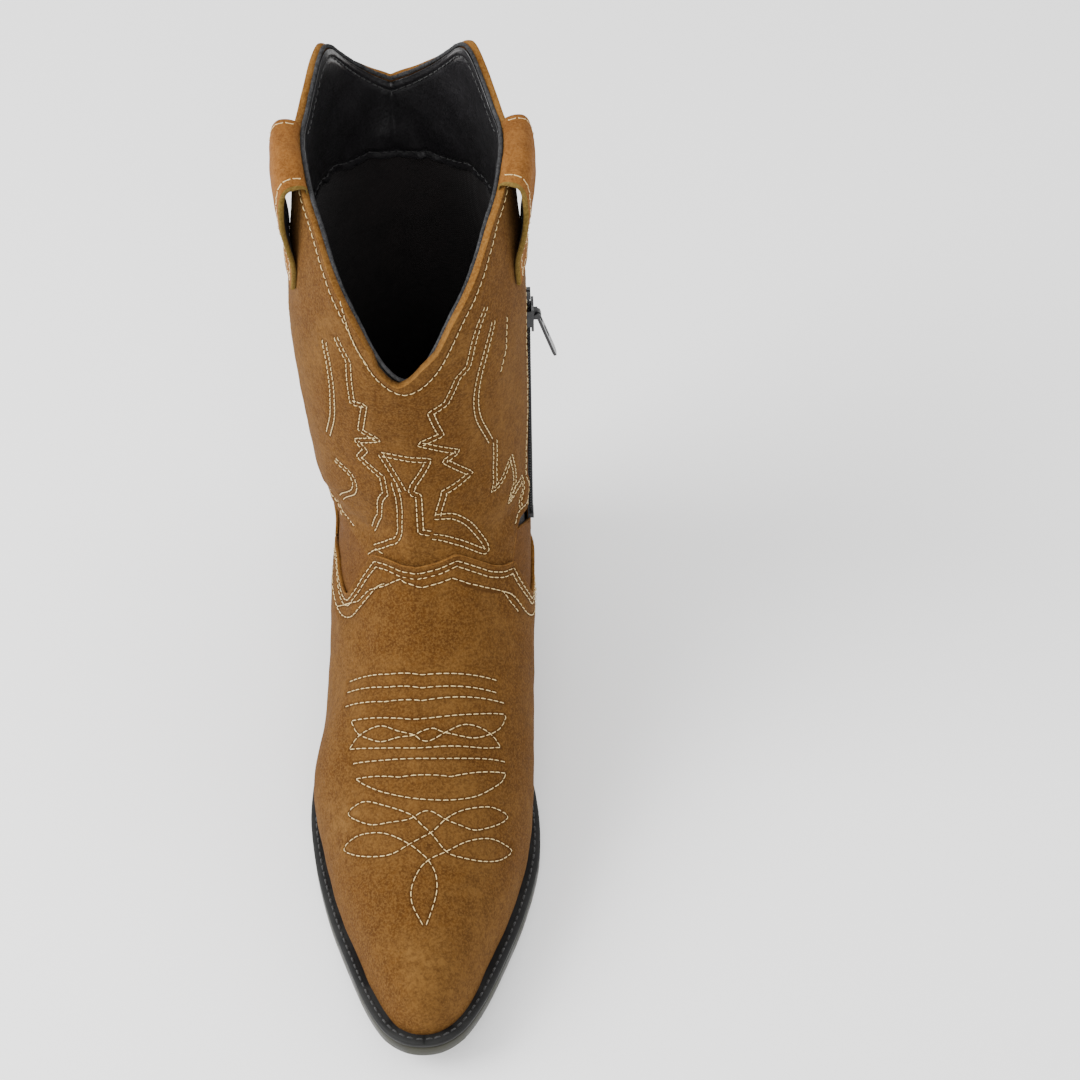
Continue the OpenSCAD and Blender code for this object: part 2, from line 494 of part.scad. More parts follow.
zip_foot = [45.6 + middle_x, 62, 92] * k;
zip_up = unit([-0.5, 20.5, 100]);
zip_out = unit([1, 0, 0] - zip_up * zip_up[0]);
zip_back = cross(zip_up, zip_out);
slider_half = 6;
slider_home = zip_travel + 10;
zip_length = slider_home + slider_half + 2;
pin_height = 3.7;
pin_radius = 0.7;
module zip_frame()
    multmatrix([[zip_out[0], zip_back[0], zip_up[0], zip_foot[0]],
        [zip_out[1], zip_back[1], zip_up[1], zip_foot[1]],
        [zip_out[2], zip_back[2], zip_up[2], zip_foot[2]], [0, 0, 0, 1]]) children();
module box(low, high) translate(low) cube(high - low);

module zip_tape(side) zip_frame()
    box([-1.3, side > 0 ? 0.35 : -5, -2.5], [-0.8, side > 0 ? 5 : -0.35, zip_length + 6]);
module zip_tape_front() color([0.07, 0.07, 0.07]) zip_tape(-1);
module zip_tape_rear() color([0.07, 0.07, 0.07]) zip_tape(1);

module zip_teeth(side) zip_frame() {
    box([-0.75, side > 0 ? 2.3 : -3.1, 0], [0.6, side > 0 ? 3.1 : -2.3, zip_length]);
    shift = side > 0 ? 0 : tooth_pitch / 2;
    for (u = [shift : tooth_pitch : zip_length - 1.5])
        box([-0.75, side > 0 ? 0.35 : -2.5, u], [0.95, side > 0 ? 2.5 : -0.35, u + tooth_pitch * 0.62]);
}
module zip_teeth_front() color([0.1, 0.1, 0.1]) zip_teeth(-1);
module zip_teeth_rear() color([0.1, 0.1, 0.1]) zip_teeth(1);

module zip_bottom_stop() color([0.2, 0.2, 0.2]) zip_frame() box([-0.75, -3, -2.2], [1.1, 3, -0.1]);
module zip_top_stops() color([0.2, 0.2, 0.2]) zip_frame()
    for (s = [-1, 1]) box([-0.75, s > 0 ? 0.5 : -2.9, zip_length + 0.2],
        [1.1, s > 0 ? 2.9 : -0.5, zip_length + 2.4]);

module slider_plate(low, high)
    translate([low, 0, 0]) rotate([90, 0, 90]) linear_extrude(high - low)
        polygon([[-3.2, -6], [3.2, -6], [4, -4.6], [4.4, 0], [4.4, 4.2], [3.2, 6], [-3.2, 6],
            [-4.4, 4.2], [-4.4, 0], [-4, -4.6]]);
module zip_slider() color([0.13, 0.13, 0.14]) zip_frame() translate([0, 0, slider_home])
    difference() {
        union() {
            slider_plate(1.25, 2.2);
            slider_plate(-2.5, -1.55);
            box([-1.6, -0.2, 0.5], [1.3, 0.2, 5.5]);
            for (s = [-1, 1]) box([-0.55, s > 0 ? 3.6 : -4.2, -3.5], [1.3, s > 0 ? 4.2 : -3.6, 3.5]);
            box([2.1, -1.1, -2], [pin_height, 1.1, 2.6]);
            translate([pin_height, 1.1, 0]) rotate([90, 0, 0]) cylinder(r = 1.45, h = 2.2, $fn = 32);
        }
        translate([pin_height, 2, 0]) rotate([90, 0, 0])
            cylinder(r = pin_radius + pin_play, h = 4, $fn = 48);
    }

// puller: a fork on a pin, then a flat tab with a slot, hanging toward the foot of the zip
module zip_puller() color([0.12, 0.11, 0.12]) zip_frame() translate([pin_height, 0, slider_home])
    rotate([0, -puller_tilt, 0]) {
        rotate([90, 0, 0]) cylinder(r = pin_radius, h = 4.4, center = true, $fn = 48);
        for (s = [-1, 1]) {
            translate([0, s > 0 ? 2.3 : -1.4, 0]) rotate([90, 0, 0]) cylinder(r = 1.2, h = 0.9, $fn = 32);
            box([-0.55, s > 0 ? 1.4 : -2.3, -5], [0.55, s > 0 ? 2.3 : -1.4, 0]);
        }
        difference() {
            translate([-0.55, 0, 0]) rotate([90, 0, 90]) linear_extrude(1.1)
                polygon([[-2.3, -4], [-2.6, -8], [-2.5, -17.5], [-1.6, -19.6], [1.6, -19.6], [2.5, -17.5],
                    [2.6, -8], [2.3, -4]]);
            box([-1, -0.9, -11], [1, 0.9, -6]);
        }
    }

function zip_line_v(t) = (lookup(t, SLIT_FRONT) + lookup(t, SLIT_REAR)) / 2;
module zip_guard() color([0.1, 0.1, 0.1])
    shell(function (a, h) let (t = mix(11.4, 21.1, h)) [t, zip_line_v(t) + mix(-0.1, 0.11, a)],
        steps(5), steps(12), -facing_out - lining, -facing_out);

module zip_base_patch() color([0.08, 0.08, 0.08])
    shell(function (a, h) [mix(11.3, 12.7, h), mix(0.4, mix(0.59, 0.5, h), a)],
        steps(6), steps(4), -lining_out + 0.2, -leather - 0.7);

outsole();
welt();
heel_rand();
forepart_filler();
tuck_board();
shank();
shank_rivets();
insole_board();
insock();
heel_wedge();
heel_lift_top();
heel_lift_mid();
heel_lift_low();
heel_top_piece();
heel_screw();
toe_puff();
vamp_backer();
vamp_lining();
vamp();
heel_stiffener();
heel_grip();
heel_counter();
shaft_front();
shaft_back();
shaft_lining();
topline_facing();
topline_piping();
pull_strap_outer();
pull_strap_inner();
zip_guard();
zip_base_patch();
zip_tape_front();
zip_tape_rear();
zip_teeth_front();
zip_teeth_rear();
zip_bottom_stop();
zip_top_stops();
zip_slider();
zip_puller();
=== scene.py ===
import math
import random
import bmesh
import bpy
import numpy as np
from mathutils import Matrix, Vector
from mathutils.kdtree import KDTree


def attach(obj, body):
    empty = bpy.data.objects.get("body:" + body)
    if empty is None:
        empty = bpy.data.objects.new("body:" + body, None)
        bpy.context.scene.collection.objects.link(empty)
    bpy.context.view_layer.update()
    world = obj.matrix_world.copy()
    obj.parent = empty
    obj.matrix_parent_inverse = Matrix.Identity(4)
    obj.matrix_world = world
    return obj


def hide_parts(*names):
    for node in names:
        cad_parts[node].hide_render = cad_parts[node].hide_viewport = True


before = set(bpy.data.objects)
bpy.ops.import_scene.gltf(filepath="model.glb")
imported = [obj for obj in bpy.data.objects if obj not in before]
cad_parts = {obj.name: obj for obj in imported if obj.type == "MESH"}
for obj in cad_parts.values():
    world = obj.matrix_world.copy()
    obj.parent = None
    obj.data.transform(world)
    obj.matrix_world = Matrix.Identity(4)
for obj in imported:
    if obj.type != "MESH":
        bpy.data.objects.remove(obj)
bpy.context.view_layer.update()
rng = random.Random(7)
MM = 0.001

# ---------------------------------------------------------------- boot surface, in millimetres
# The same slanted sections as the CAD: front x y z, back x y z, widest half widths (outer, inner),
# half widths at the back line (outer, inner), narrowing toward the back.
SECTIONS = np.array([
    [0, -136.6, 21, 0, -136.6, 21, 0, 0, 0, 0, 0],
    [0, -135, 29.2, 0, -135.2, 20.5, 5.8, 5.8, 5.8, 5.8, 0],
    [0, -129.5, 35, 0, -130, 19.5, 11.4, 11.4, 11.4, 11.4, 0],
    [0, -118, 40, 0, -118.5, 17, 17.4, 17.8, 17.4, 17.8, 0],
    [0, -100, 46, 0, -100, 13.5, 24.8, 25.8, 24.3, 25.3, 0],
    [0, -76, 54, 0, -76, 10.5, 33.2, 34.8, 32.3, 33.8, 0],
    [0, -50, 65, 0, -50, 9, 39.8, 40.8, 38.3, 39.8, 0],
    [0, -28, 78, 0, -26, 9, 42.8, 42.8, 40.8, 39.8, 0],
    [0, -10, 92, 0, 2, 10, 40.2, 44.4, 39, 36, 0.02],
    [0, 4, 104.2, 0, 30, 16.5, 38.4, 45.4, 33.5, 31, 0.06],
    [0, 12, 113.5, 0, 60, 29, 37.4, 46.8, 30, 29, 0.12],
    [0, 16.5, 123, 0, 88, 40.5, 37.4, 47.8, 28.5, 28.5, 0.18],
    [0, 19, 131, 0, 110, 44.8, 38, 48.6, 28.5, 28.5, 0.22],
    [0, 20.5, 137.5, 0, 125, 46.3, 39, 48.6, 23.5, 24, 0.24],
    [0, 21.5, 143, 0, 135, 47.2, 40, 48.4, 13, 13, 0.25],
    [0, 22.2, 148, 0, 138, 47.5, 41.5, 48, 0, 0, 0.25],
    [0, 23, 155, 0, 141, 62, 43, 47.8, 0, 0, 0.22],
    [0, 23.5, 163, 0, 141, 82, 44, 47.5, 0, 0, 0.16],
    [-0.5, 24, 173, -0.5, 138, 110, 44.5, 47.5, 0, 0, 0.1],
    [-1, 24, 185, -2, 136.5, 140, 44.5, 47.3, 0, 0, 0.05],
    [-1, 24, 201, -3.6, 138, 172, 44, 47.2, 0, 0, 0.02],
    [-1.3, 24, 221, -4, 140.5, 203, 42, 46.5, 0, 0, 0],
    [-1.3, 24, 243, -4.8, 143, 233, 38.8, 44.8, 0, 0, 0],
    [-1.3, 24, 266, -5.6, 145, 262, 35.8, 43, 0, 0, 0],
    [-1.3, 24, 290, -6.2, 147, 290, 33.6, 41.5, 0, 0, 0]])
LAST = len(SECTIONS) - 1
HEEL_CLOSE = 15


def padded_sections():
    """The sections with one more row before the toe tip, which it mirrors, and two above the top."""
    a = SECTIONS[1]
    before = a * ([1] * 6 + [-1] * 4 + [1])
    before[2] += 2 * (SECTIONS[0][2] - a[2])
    after = 2 * SECTIONS[-1] - SECTIONS[-2]
    return np.vstack([before, SECTIONS, after, after])


ROWS = padded_sections()


def spline(a, b, c, d, f):
    """A smooth curve from b to c, where a and d are the values before and after."""
    square = (2 * a - 5 * b + 4 * c - d) * f * f
    cube = (3 * b - a - 3 * c + d) * f * f * f
    return 0.5 * (2 * b + (c - a) * f + square + cube)


def section(t):
    t = np.clip(t, 0, LAST)
    i = np.minimum(np.floor(t).astype(int), LAST - 1)
    f = (t - i)[..., None]
    return spline(ROWS[i], ROWS[i + 1], ROWS[i + 2], ROWS[i + 3], f)


def unit(v):
    return v / (np.linalg.norm(v, axis=-1, keepdims=True) + 1e-12)


# the sections are drawn about the middle of the sole, this far from the middle of the part's box
MIDDLE_X = -4


def place(t, v):
    """Points of the boot surface: t runs from toe to top, v from -1 over the front ridge to 1."""
    t, v = np.broadcast_arrays(np.asarray(t, float), np.asarray(v, float))
    v = np.where(v > 1, v - 2, np.where(v < -1, v + 2, v))
    s = section(t)
    outer = v < 0
    m0 = np.maximum(np.where(outer, s[..., 6], s[..., 7]), 0.0001)
    pinch = s[..., 10]
    e = np.maximum(np.where(outer, s[..., 8], s[..., 9]), 0) / (1 - pinch)
    m = np.maximum(m0, e)
    full = np.clip((t - 4) / 4, 0, 1) * np.clip((20 - t) / 6, 0, 1)
    q = np.where(outer, 1 + 0.22 * full, 1 - 0.08 * full)
    heel = np.clip((t - 12) / 2, 0, 1) * np.clip((20 - t) / 4, 0, 1)
    end_power = q + (0.8 - q) * heel
    last = math.pi - np.arcsin(np.minimum(e / m, 0.99999) ** (1 / end_power))
    a = np.abs(v) * last
    f = (1 - np.cos(a)) / (1 - np.cos(last))
    p = q + (0.8 - q) * heel * f * f
    x = m * np.abs(np.sin(a)) ** p * (1 - pinch * f * f) * np.where(outer, -1, 1)
    g = f[..., None]
    out = s[..., 0:3] * (1 - g) + s[..., 3:6] * g
    out[..., 0] += x + MIDDLE_X
    return out


def normal(t, v):
    """Outward unit normals of the boot surface."""
    t, v = np.broadcast_arrays(np.asarray(t, float), np.asarray(v, float))
    h = 0.004
    low, high = v - h, v + h
    open_heel = t < HEEL_CLOSE
    high = np.where(open_heel & (high > 1) & (high < 1.05), 1, high)
    low = np.where(open_heel & (low < -1) & (low > -1.05), -1, low)
    a = place(t, high) - place(t, low)
    b = place(np.minimum(t + h, LAST), v) - place(np.maximum(t - h, 0.001), v)
    n = unit(np.cross(a, b))
    n[t < 0.05] = (0, -1, 0)
    return n


def lookup(x, table):
    xs, ys = zip(*table)
    return np.interp(x, xs, ys)


def softened(x, table, reach):
    """A cutting line with its corners rounded."""
    return sum(lookup(x + d * reach, table) for d in (-1, -0.5, 0, 0.5, 1)) / 5


# ---------------------------------------------------------------- cutting lines, as in the CAD
VAMP_TOP = [(-1, 10), (-0.68, 11.3), (-0.61, 11.1), (-0.56, 10.7), (-0.515, 10.1), (-0.49, 9.85),
            (-0.45, 9.75), (-0.4, 9.95), (-0.36, 10.2), (-0.32, 10.45), (-0.275, 10.75), (-0.2, 10.6),
            (-0.1, 10.27), (0, 10.15), (0.06, 10.33), (0.125, 10.7), (0.2, 10.45), (0.26, 10.3),
            (0.315, 10.32), (0.375, 10.5), (0.41, 10.2), (0.46, 10.0), (0.53, 9.85), (0.58, 10.15),
            (0.61, 10.7), (0.65, 11.1), (0.7, 11.3), (1, 10)]
TUCK = [(0, 9.5), (0.12, 9.7), (0.275, 9.7), (0.36, 9.5), (0.45, 9.1), (0.53, 9.2), (0.62, 10.2),
        (0.7, 11.3), (0.8, 13), (0.9, 15), (0.96, 16.3), (1, 17)]
TOPLINE = [(0, 20.1), (0.04, 20.3), (0.085, 20.8), (0.13, 21.4), (0.2, 22), (0.29, 22.8), (0.42, 23.25),
           (0.52, 23.2), (0.6, 23.1), (0.66, 23.35), (0.71, 23.65), (0.75, 23.6), (0.8, 23.3), (0.86, 23),
           (0.93, 22.75), (1, 22.6)]
FACING_DEPTH = [(0, 0.45), (0.45, 0.5), (0.56, 1.6), (0.66, 1.85), (0.72, 2.1), (0.8, 1.8), (0.9, 1.35),
                (1, 1.15)]
FRONT_OUTER = [(9, 0.3), (10.65, 0.31), (11.3, 0.39), (11.75, 0.48), (12.2, 0.535), (13, 0.52), (15, 0.48),
               (18, 0.47), (21, 0.5), (24, 0.52)]
FRONT_INNER = [(9, 0.37), (10.55, 0.38), (11.5, 0.4), (12, 0.43), (12.5, 0.5), (13, 0.488), (14, 0.432),
               (15, 0.388), (16, 0.39), (17, 0.402), (18, 0.423), (19, 0.446), (20, 0.468), (20.55, 0.482),
               (20.85, 0.514), (24, 0.529)]
REAR_INNER = [(9, 0.372), (10.55, 0.382), (11.5, 0.404), (11.65, 0.45), (11.85, 0.62), (12, 0.63),
              (12.5, 0.6), (13, 0.569), (14, 0.503), (15, 0.453), (16, 0.454), (17, 0.466), (18, 0.489),
              (19, 0.514), (20, 0.537), (20.55, 0.55), (20.85, 0.52), (24, 0.532)]
COUNTER_T = [(0, 18.2), (0.12, 17.6), (0.3, 16.2), (0.5, 14.5), (0.7, 13), (0.85, 12), (1, 11.33)]
COUNTER_V = [(0, 1), (0.12, 0.97), (0.3, 0.915), (0.5, 0.84), (0.7, 0.765), (0.85, 0.715), (1, 0.685)]


def vamp_top(v):
    return softened(v, VAMP_TOP, 0.012)


def fold(v):
    """v wrapped into 0..1, the same on both sides."""
    v = np.where(v > 1, v - 2, v)
    return np.abs(v)


def tuck(v):
    return lookup(fold(v), TUCK)


def topline(v):
    return softened(fold(v), TOPLINE, 0.02) if np.ndim(v) else float(softened(abs(v), TOPLINE, 0.02))


# ---------------------------------------------------------------- mesh helpers
def new_mesh(name, points, faces, slots, materials, body, smooth=True, sunk=None):
    """An object from points in millimetres; slots gives each face's material number."""
    me = bpy.data.meshes.new(name)
    me.from_pydata((np.asarray(points, float) * MM).tolist(), [], [list(map(int, f)) for f in faces])
    for m in materials:
        me.materials.append(m)
    me.polygons.foreach_set("material_index", np.asarray(slots, np.int32))
    if smooth:
        me.polygons.foreach_set("use_smooth", np.ones(len(faces), bool))
    me.update()
    # the 'sunk' attribute feeds the suede's painted shade in the stitch grooves
    if sunk is not None:
        mark = me.attributes.new("sunk", "FLOAT", "POINT")
        mark.data.foreach_set("value", np.asarray(sunk, np.float32))
    ob = bpy.data.objects.new(name, me)
    bpy.context.scene.collection.objects.link(ob)
    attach(ob, body)
    return ob


def one_material(name, made, material, node=None):
    """A piece of the boot from (points, faces) in one material, in place of a CAD node if one is named."""
    points, faces = made
    ob = new_mesh(name, points, faces, np.zeros(len(faces)), [material], "boot")
    if node:
        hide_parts(node)
    return ob


def gather(points, faces, made):
    """Adds (points, faces) to two lists."""
    k = len(points)
    points += made[0]
    faces += [[k + i for i in face] for face in made[1]]


def grid_faces(rows, cols, start=0, flip=False):
    r, c = np.meshgrid(np.arange(rows - 1), np.arange(cols - 1), indexing="ij")
    i = (start + r * cols + c).ravel()
    quad = [i, i + 1, i + cols + 1, i + cols]
    return np.stack(quad[::-1] if flip else quad, axis=1)


def rim_of(rows, cols):
    """The grid's outline, once round, counter-clockwise seen from outside."""
    g = np.arange(rows * cols).reshape(rows, cols)
    return np.concatenate([g[0, :-1], g[:-1, -1], g[-1, :0:-1], g[:0:-1, 0]])


def sheet(top, under, walls, rows, cols):
    """Points, faces and material numbers of a sheet: its top is 0, its cut edge 1 and its back 2."""
    rim = rim_of(rows, cols)
    n = rows * cols
    faces = [grid_faces(rows, cols), grid_faces(rows, cols, n, True)]
    slots = [np.zeros(len(faces[0])), np.full(len(faces[1]), 2)]
    first_wall = 2 * n + np.arange(len(rim))
    rings = [rim] + [first_wall + k * len(rim) for k in range(len(walls))] + [rim + n]
    for a, b in zip(rings[:-1], rings[1:]):
        faces.append(np.stack([b, np.roll(b, -1), np.roll(a, -1), a], axis=1))
        slots.append(np.full(len(rim), 1))
    return np.concatenate([top, under] + walls), np.concatenate(faces), np.concatenate(slots)


def panel(name, tv, low, high, materials, shape=None, bevel=0.3):
    """A sheet of leather on the boot surface between two offsets, with a rounded cut edge.
    tv is an array (rows, columns, 2) of surface places; shape adds millimetres along the normal."""
    rows, cols = tv.shape[:2]
    t, v = tv[..., 0], tv[..., 1]
    base, n = place(t, v), normal(t, v)
    lift, sink = shape(base, t, v) if shape else (np.zeros(t.shape), np.zeros(t.shape))
    top = (base + n * (high + lift)[..., None]).reshape(-1, 3)
    under = (base + n * np.broadcast_to(low, t.shape)[..., None]).reshape(-1, 3)
    rim = rim_of(rows, cols)
    inner_of = np.arange(rows * cols).reshape(rows, cols)
    inner_of = np.concatenate([inner_of[1, :-1], inner_of[:-1, -2], inner_of[-2, :0:-1],
                               inner_of[:0:-1, 1]])
    away = unit(top[rim] - top[inner_of])
    flat = n.reshape(-1, 3)[rim]
    walls = [top[rim] + away * bevel * 0.7 - flat * bevel * 0.3, top[rim] + away * bevel - flat * bevel,
             under[rim] + away * bevel * 0.6]
    points, faces, slots = sheet(top, under, walls, rows, cols)
    slots = np.minimum(slots, len(materials) - 1)
    # the shape's second value is kept as the 'sunk' attribute, which the suede colour uses for painted shade
    # in the stitch grooves
    sunk = np.zeros(len(points))
    sunk[: rows * cols] = sink.ravel()
    return new_mesh(name, points, faces, slots, materials, "boot", sunk=sunk)


def tube(path, radius, sides=8, closed=False):
    """Points and faces of a round cord along a path in millimetres."""
    path = np.asarray(path, float)
    if closed:
        ahead, behind = np.roll(path, -1, 0), np.roll(path, 1, 0)
    else:
        ahead, behind = np.vstack([path[1:], path[-1:]]), np.vstack([path[:1], path[:-1]])
    along = unit(ahead - behind)
    up = unit(np.cross(along, (0.31, 0.2, 0.93)))
    side = np.cross(along, up)
    ang = np.arange(sides) * 2 * math.pi / sides
    radius = np.broadcast_to(radius, (len(path),))
    ring = np.cos(ang)[None, :, None] * up[:, None] + np.sin(ang)[None, :, None] * side[:, None]
    pts = (path[:, None] + ring * radius[:, None, None]).reshape(-1, 3)
    count = len(path)
    faces = []
    for i in range(count if closed else count - 1):
        a, b = i * sides, ((i + 1) % count) * sides
        faces += [[a + j, a + (j + 1) % sides, b + (j + 1) % sides, b + j] for j in range(sides)]
    if not closed:
        faces += [list(range(sides))[::-1], [(count - 1) * sides + j for j in range(sides)]]
    return pts, faces


# ---------------------------------------------------------------- stitches
def curve(points, smooth=True, steps=14):
    """Points joined by straight lines or by a smooth curve."""
    p = np.asarray(points, float)
    e = np.vstack([2 * p[0] - p[1], p, 2 * p[-1] - p[-2]])
    f = np.linspace(0, 1, steps, endpoint=False)[:, None]
    parts = []
    for i in range(len(p) - 1):
        parts.append(spline(*e[i:i + 4], f) if smooth else p[i] + (p[i + 1] - p[i]) * f)
    return np.vstack(parts + [p[-1:]])


def on_surface(vt, offset, shift=0.0):
    """A line of (v, t) places put on the surface and moved sideways by shift millimetres."""
    pos = place(vt[:, 1], vt[:, 0])
    n = normal(vt[:, 1], vt[:, 0])
    along = unit(np.gradient(pos, axis=0))
    return pos + n * offset + np.cross(n, along) * shift, n


def stitch_row(pos, n, pitch, length, thick):
    """Capsule stitches along a line of points; both ends of each dip into the leather."""
    gap = np.linalg.norm(np.diff(pos, axis=0), axis=1)
    s = np.concatenate([[0], np.cumsum(gap)])
    count = max(int(round(s[-1] / pitch)), 1)
    step = s[-1] / count
    at = lambda d, arr: np.stack([np.interp(d, s, arr[:, k]) for k in range(3)], axis=-1)
    pts, faces = [], []
    sides = 6
    for i in range(count):
        jig = rng.uniform(-0.06, 0.06) * pitch
        a = i * step + (step - length) / 2 + jig
        d = np.clip(a + length * np.array([0, 0.18, 0.5, 0.82, 1]), 0, s[-1])
        c, up = at(d, pos), at(d, n)
        c = c + up * np.array([-0.3, 0.12, 0.24, 0.12, -0.3])[:, None] * thick * 1.3
        r = np.array([0.3, 0.46, 0.5, 0.46, 0.3]) * thick * rng.uniform(0.92, 1.08)
        ax = unit(c[-1] - c[0])
        side = unit(np.cross(ax, up[2]))
        lift = np.cross(side, ax)
        k = len(pts)
        for j in range(5):
            for m in range(sides):
                w = 2 * math.pi * m / sides
                pts.append(c[j] + r[j] * (math.cos(w) * side + 0.8 * math.sin(w) * lift))
        for j in range(4):
            for m in range(sides):
                b = k + j * sides
                faces.append([b + m, b + (m + 1) % sides, b + sides + (m + 1) % sides, b + sides + m])
        faces.append([k + m for m in range(sides)][::-1])
        faces.append([k + 4 * sides + m for m in range(sides)])
    return pts, faces


def tree_of(points):
    tree = KDTree(len(points))
    for i, p in enumerate(points):
        tree.insert(p, i)
    tree.balance()
    return tree


def distances(tree, points):
    return np.array([tree.find(p)[2] for p in points.reshape(-1, 3)]).reshape(points.shape[:-1])


class Sewing:
    """All stitch rows of one panel: the stitches, and the grooves that they pull into the leather."""

    def __init__(self, offset):
        self.offset, self.pts, self.faces, self.line, self.ups = offset, [], [], [], []

    def row(self, vt, shift=0.0, pitch=3.0, length=2.3, smooth=False):
        pos, n = on_surface(curve(vt, smooth), self.offset, shift)
        self.line += list(pos - n * self.offset)
        self.ups += list(n)
        gather(self.pts, self.faces, stitch_row(pos - n * 0.1, n, pitch, length, 0.42))

    def tree(self):
        """For finding the nearest place on any of the rows."""
        dense = []
        line = np.array(self.line)
        for a, b in zip(line[:-1], line[1:]):
            d = np.linalg.norm(b - a)
            if d < 4:
                dense += [a + (b - a) * f for f in np.linspace(0, 1, int(d / 0.5) + 1, endpoint=False)]
        return tree_of(dense)

    def build(self, name, material):
        one_material(name, (self.pts, self.faces), material)


GROOVE_DEPTH = 0.32


def grooves(tree, points):
    """Millimetres that the leather sinks near the stitches, and puffs up a little beside them."""
    d = distances(tree, points)
    return -GROOVE_DEPTH * np.exp(-(d / 0.8) ** 2) + 0.12 * np.exp(-((d - 2.6) / 1.3) ** 2)


def waves(points, scale, seed):
    """Smooth irregular waves between about -1 and 1, from a few rotated sines."""
    r = np.random.default_rng(seed)
    out = np.zeros(points.shape[:-1])
    for i in range(7):
        d = r.normal(size=3)
        d /= np.linalg.norm(d)
        out += np.sin(points @ d * 2 * math.pi / (scale * r.uniform(0.7, 1.5)) + r.uniform(0, 6.3))
    return out / 3.2


def creases(lines):
    """Folds in the leather. Each is (v, t) points, depth and width in millimetres."""
    made = []
    for vt, depth, width in lines:
        path = curve(vt, True, 20)
        made.append((tree_of(place(path[:, 1], path[:, 0])), depth, width))

    def shape(points):
        out = np.zeros(points.shape[:-1])
        for tree, depth, width in made:
            d = distances(tree, points)
            out += depth * (-np.exp(-(d / width) ** 2) + 0.55 * np.exp(-((d - 2 * width) / width) ** 2))
        return out
    return shape


# ---------------------------------------------------------------- materials
class Graph:
    """A small helper that adds shader nodes to one material."""

    def __init__(self, name):
        self.mat = bpy.data.materials.new(name)
        self.mat.use_nodes = True
        self.tree = self.mat.node_tree
        self.tree.nodes.clear()
        self.out = self.add("ShaderNodeOutputMaterial")
        self.bsdf = self.add("ShaderNodeBsdfPrincipled")
        self.link(self.bsdf.outputs[0], self.out.inputs[0])
        self.where = self.add("ShaderNodeTexCoord").outputs["Object"]

    def add(self, kind):
        return self.tree.nodes.new(kind)

    def link(self, a, b):
        self.tree.links.new(a, b)

    def put(self, socket, value):
        if isinstance(value, bpy.types.NodeSocket):
            self.link(value, socket)
        elif isinstance(value, tuple) and len(value) == 3:
            socket.default_value = (*value, 1) if len(socket.default_value) == 4 else value
        else:
            socket.default_value = value

    def set(self, **values):
        for key, value in values.items():
            self.put(self.bsdf.inputs[key.replace("_", " ")], value)

    def scaled(self, factors):
        node = self.add("ShaderNodeVectorMath")
        node.operation = "MULTIPLY"
        self.link(self.where, node.inputs[0])
        node.inputs[1].default_value = factors
        return node.outputs[0]

    def noise(self, size_mm, detail=3, rough=0.55, distort=0.0, where=None):
        """Noise with features of about size_mm."""
        node = self.add("ShaderNodeTexNoise")
        self.link(where or self.where, node.inputs["Vector"])
        node.inputs["Scale"].default_value = 1000 / size_mm
        node.inputs["Detail"].default_value = detail
        node.inputs["Roughness"].default_value = rough
        node.inputs["Distortion"].default_value = distort
        return node.outputs[0]

    def cells(self, size_mm):
        node = self.add("ShaderNodeTexVoronoi")
        self.link(self.where, node.inputs["Vector"])
        node.inputs["Scale"].default_value = 1000 / size_mm
        return node.outputs[0]

    def ramp(self, value, low, high, out_low=0.0, out_high=1.0):
        node = self.add("ShaderNodeMapRange")
        node.interpolation_type = "SMOOTHSTEP"
        self.link(value, node.inputs[0])
        for i, x in enumerate((low, high, out_low, out_high)):
            node.inputs[i + 1].default_value = x
        return node.outputs[0]

    def math(self, kind, a, b=0.0):
        node = self.add("ShaderNodeMath")
        node.operation = kind
        self.put(node.inputs[0], a)
        self.put(node.inputs[1], b)
        return node.outputs[0]

    def mix(self, f, a, b):
        node = self.add("ShaderNodeMix")
        node.data_type = "RGBA"
        self.put(node.inputs[0], f)
        self.put(node.inputs[6], a)
        self.put(node.inputs[7], b)
        return node.outputs[2]

    def bump(self, height, distance_mm, strength):
        node = self.add("ShaderNodeBump")
        node.inputs["Strength"].default_value = strength
        node.inputs["Distance"].default_value = distance_mm * MM
        self.link(height, node.inputs["Height"])
        return node.outputs[0]

    def attribute(self, name):
        node = self.add("ShaderNodeAttribute")
        node.attribute_name = name
        return node.outputs["Fac"]

    def spot(self, centre, radius):
        """1 at a place on the boot and 0 outside a radius, in millimetres."""
        node = self.add("ShaderNodeVectorMath")
        node.operation = "DISTANCE"
        self.link(self.where, node.inputs[0])
        node.inputs[1].default_value = [c * MM for c in centre]
        return self.ramp(node.outputs["Value"], radius * MM, radius * 0.15 * MM)


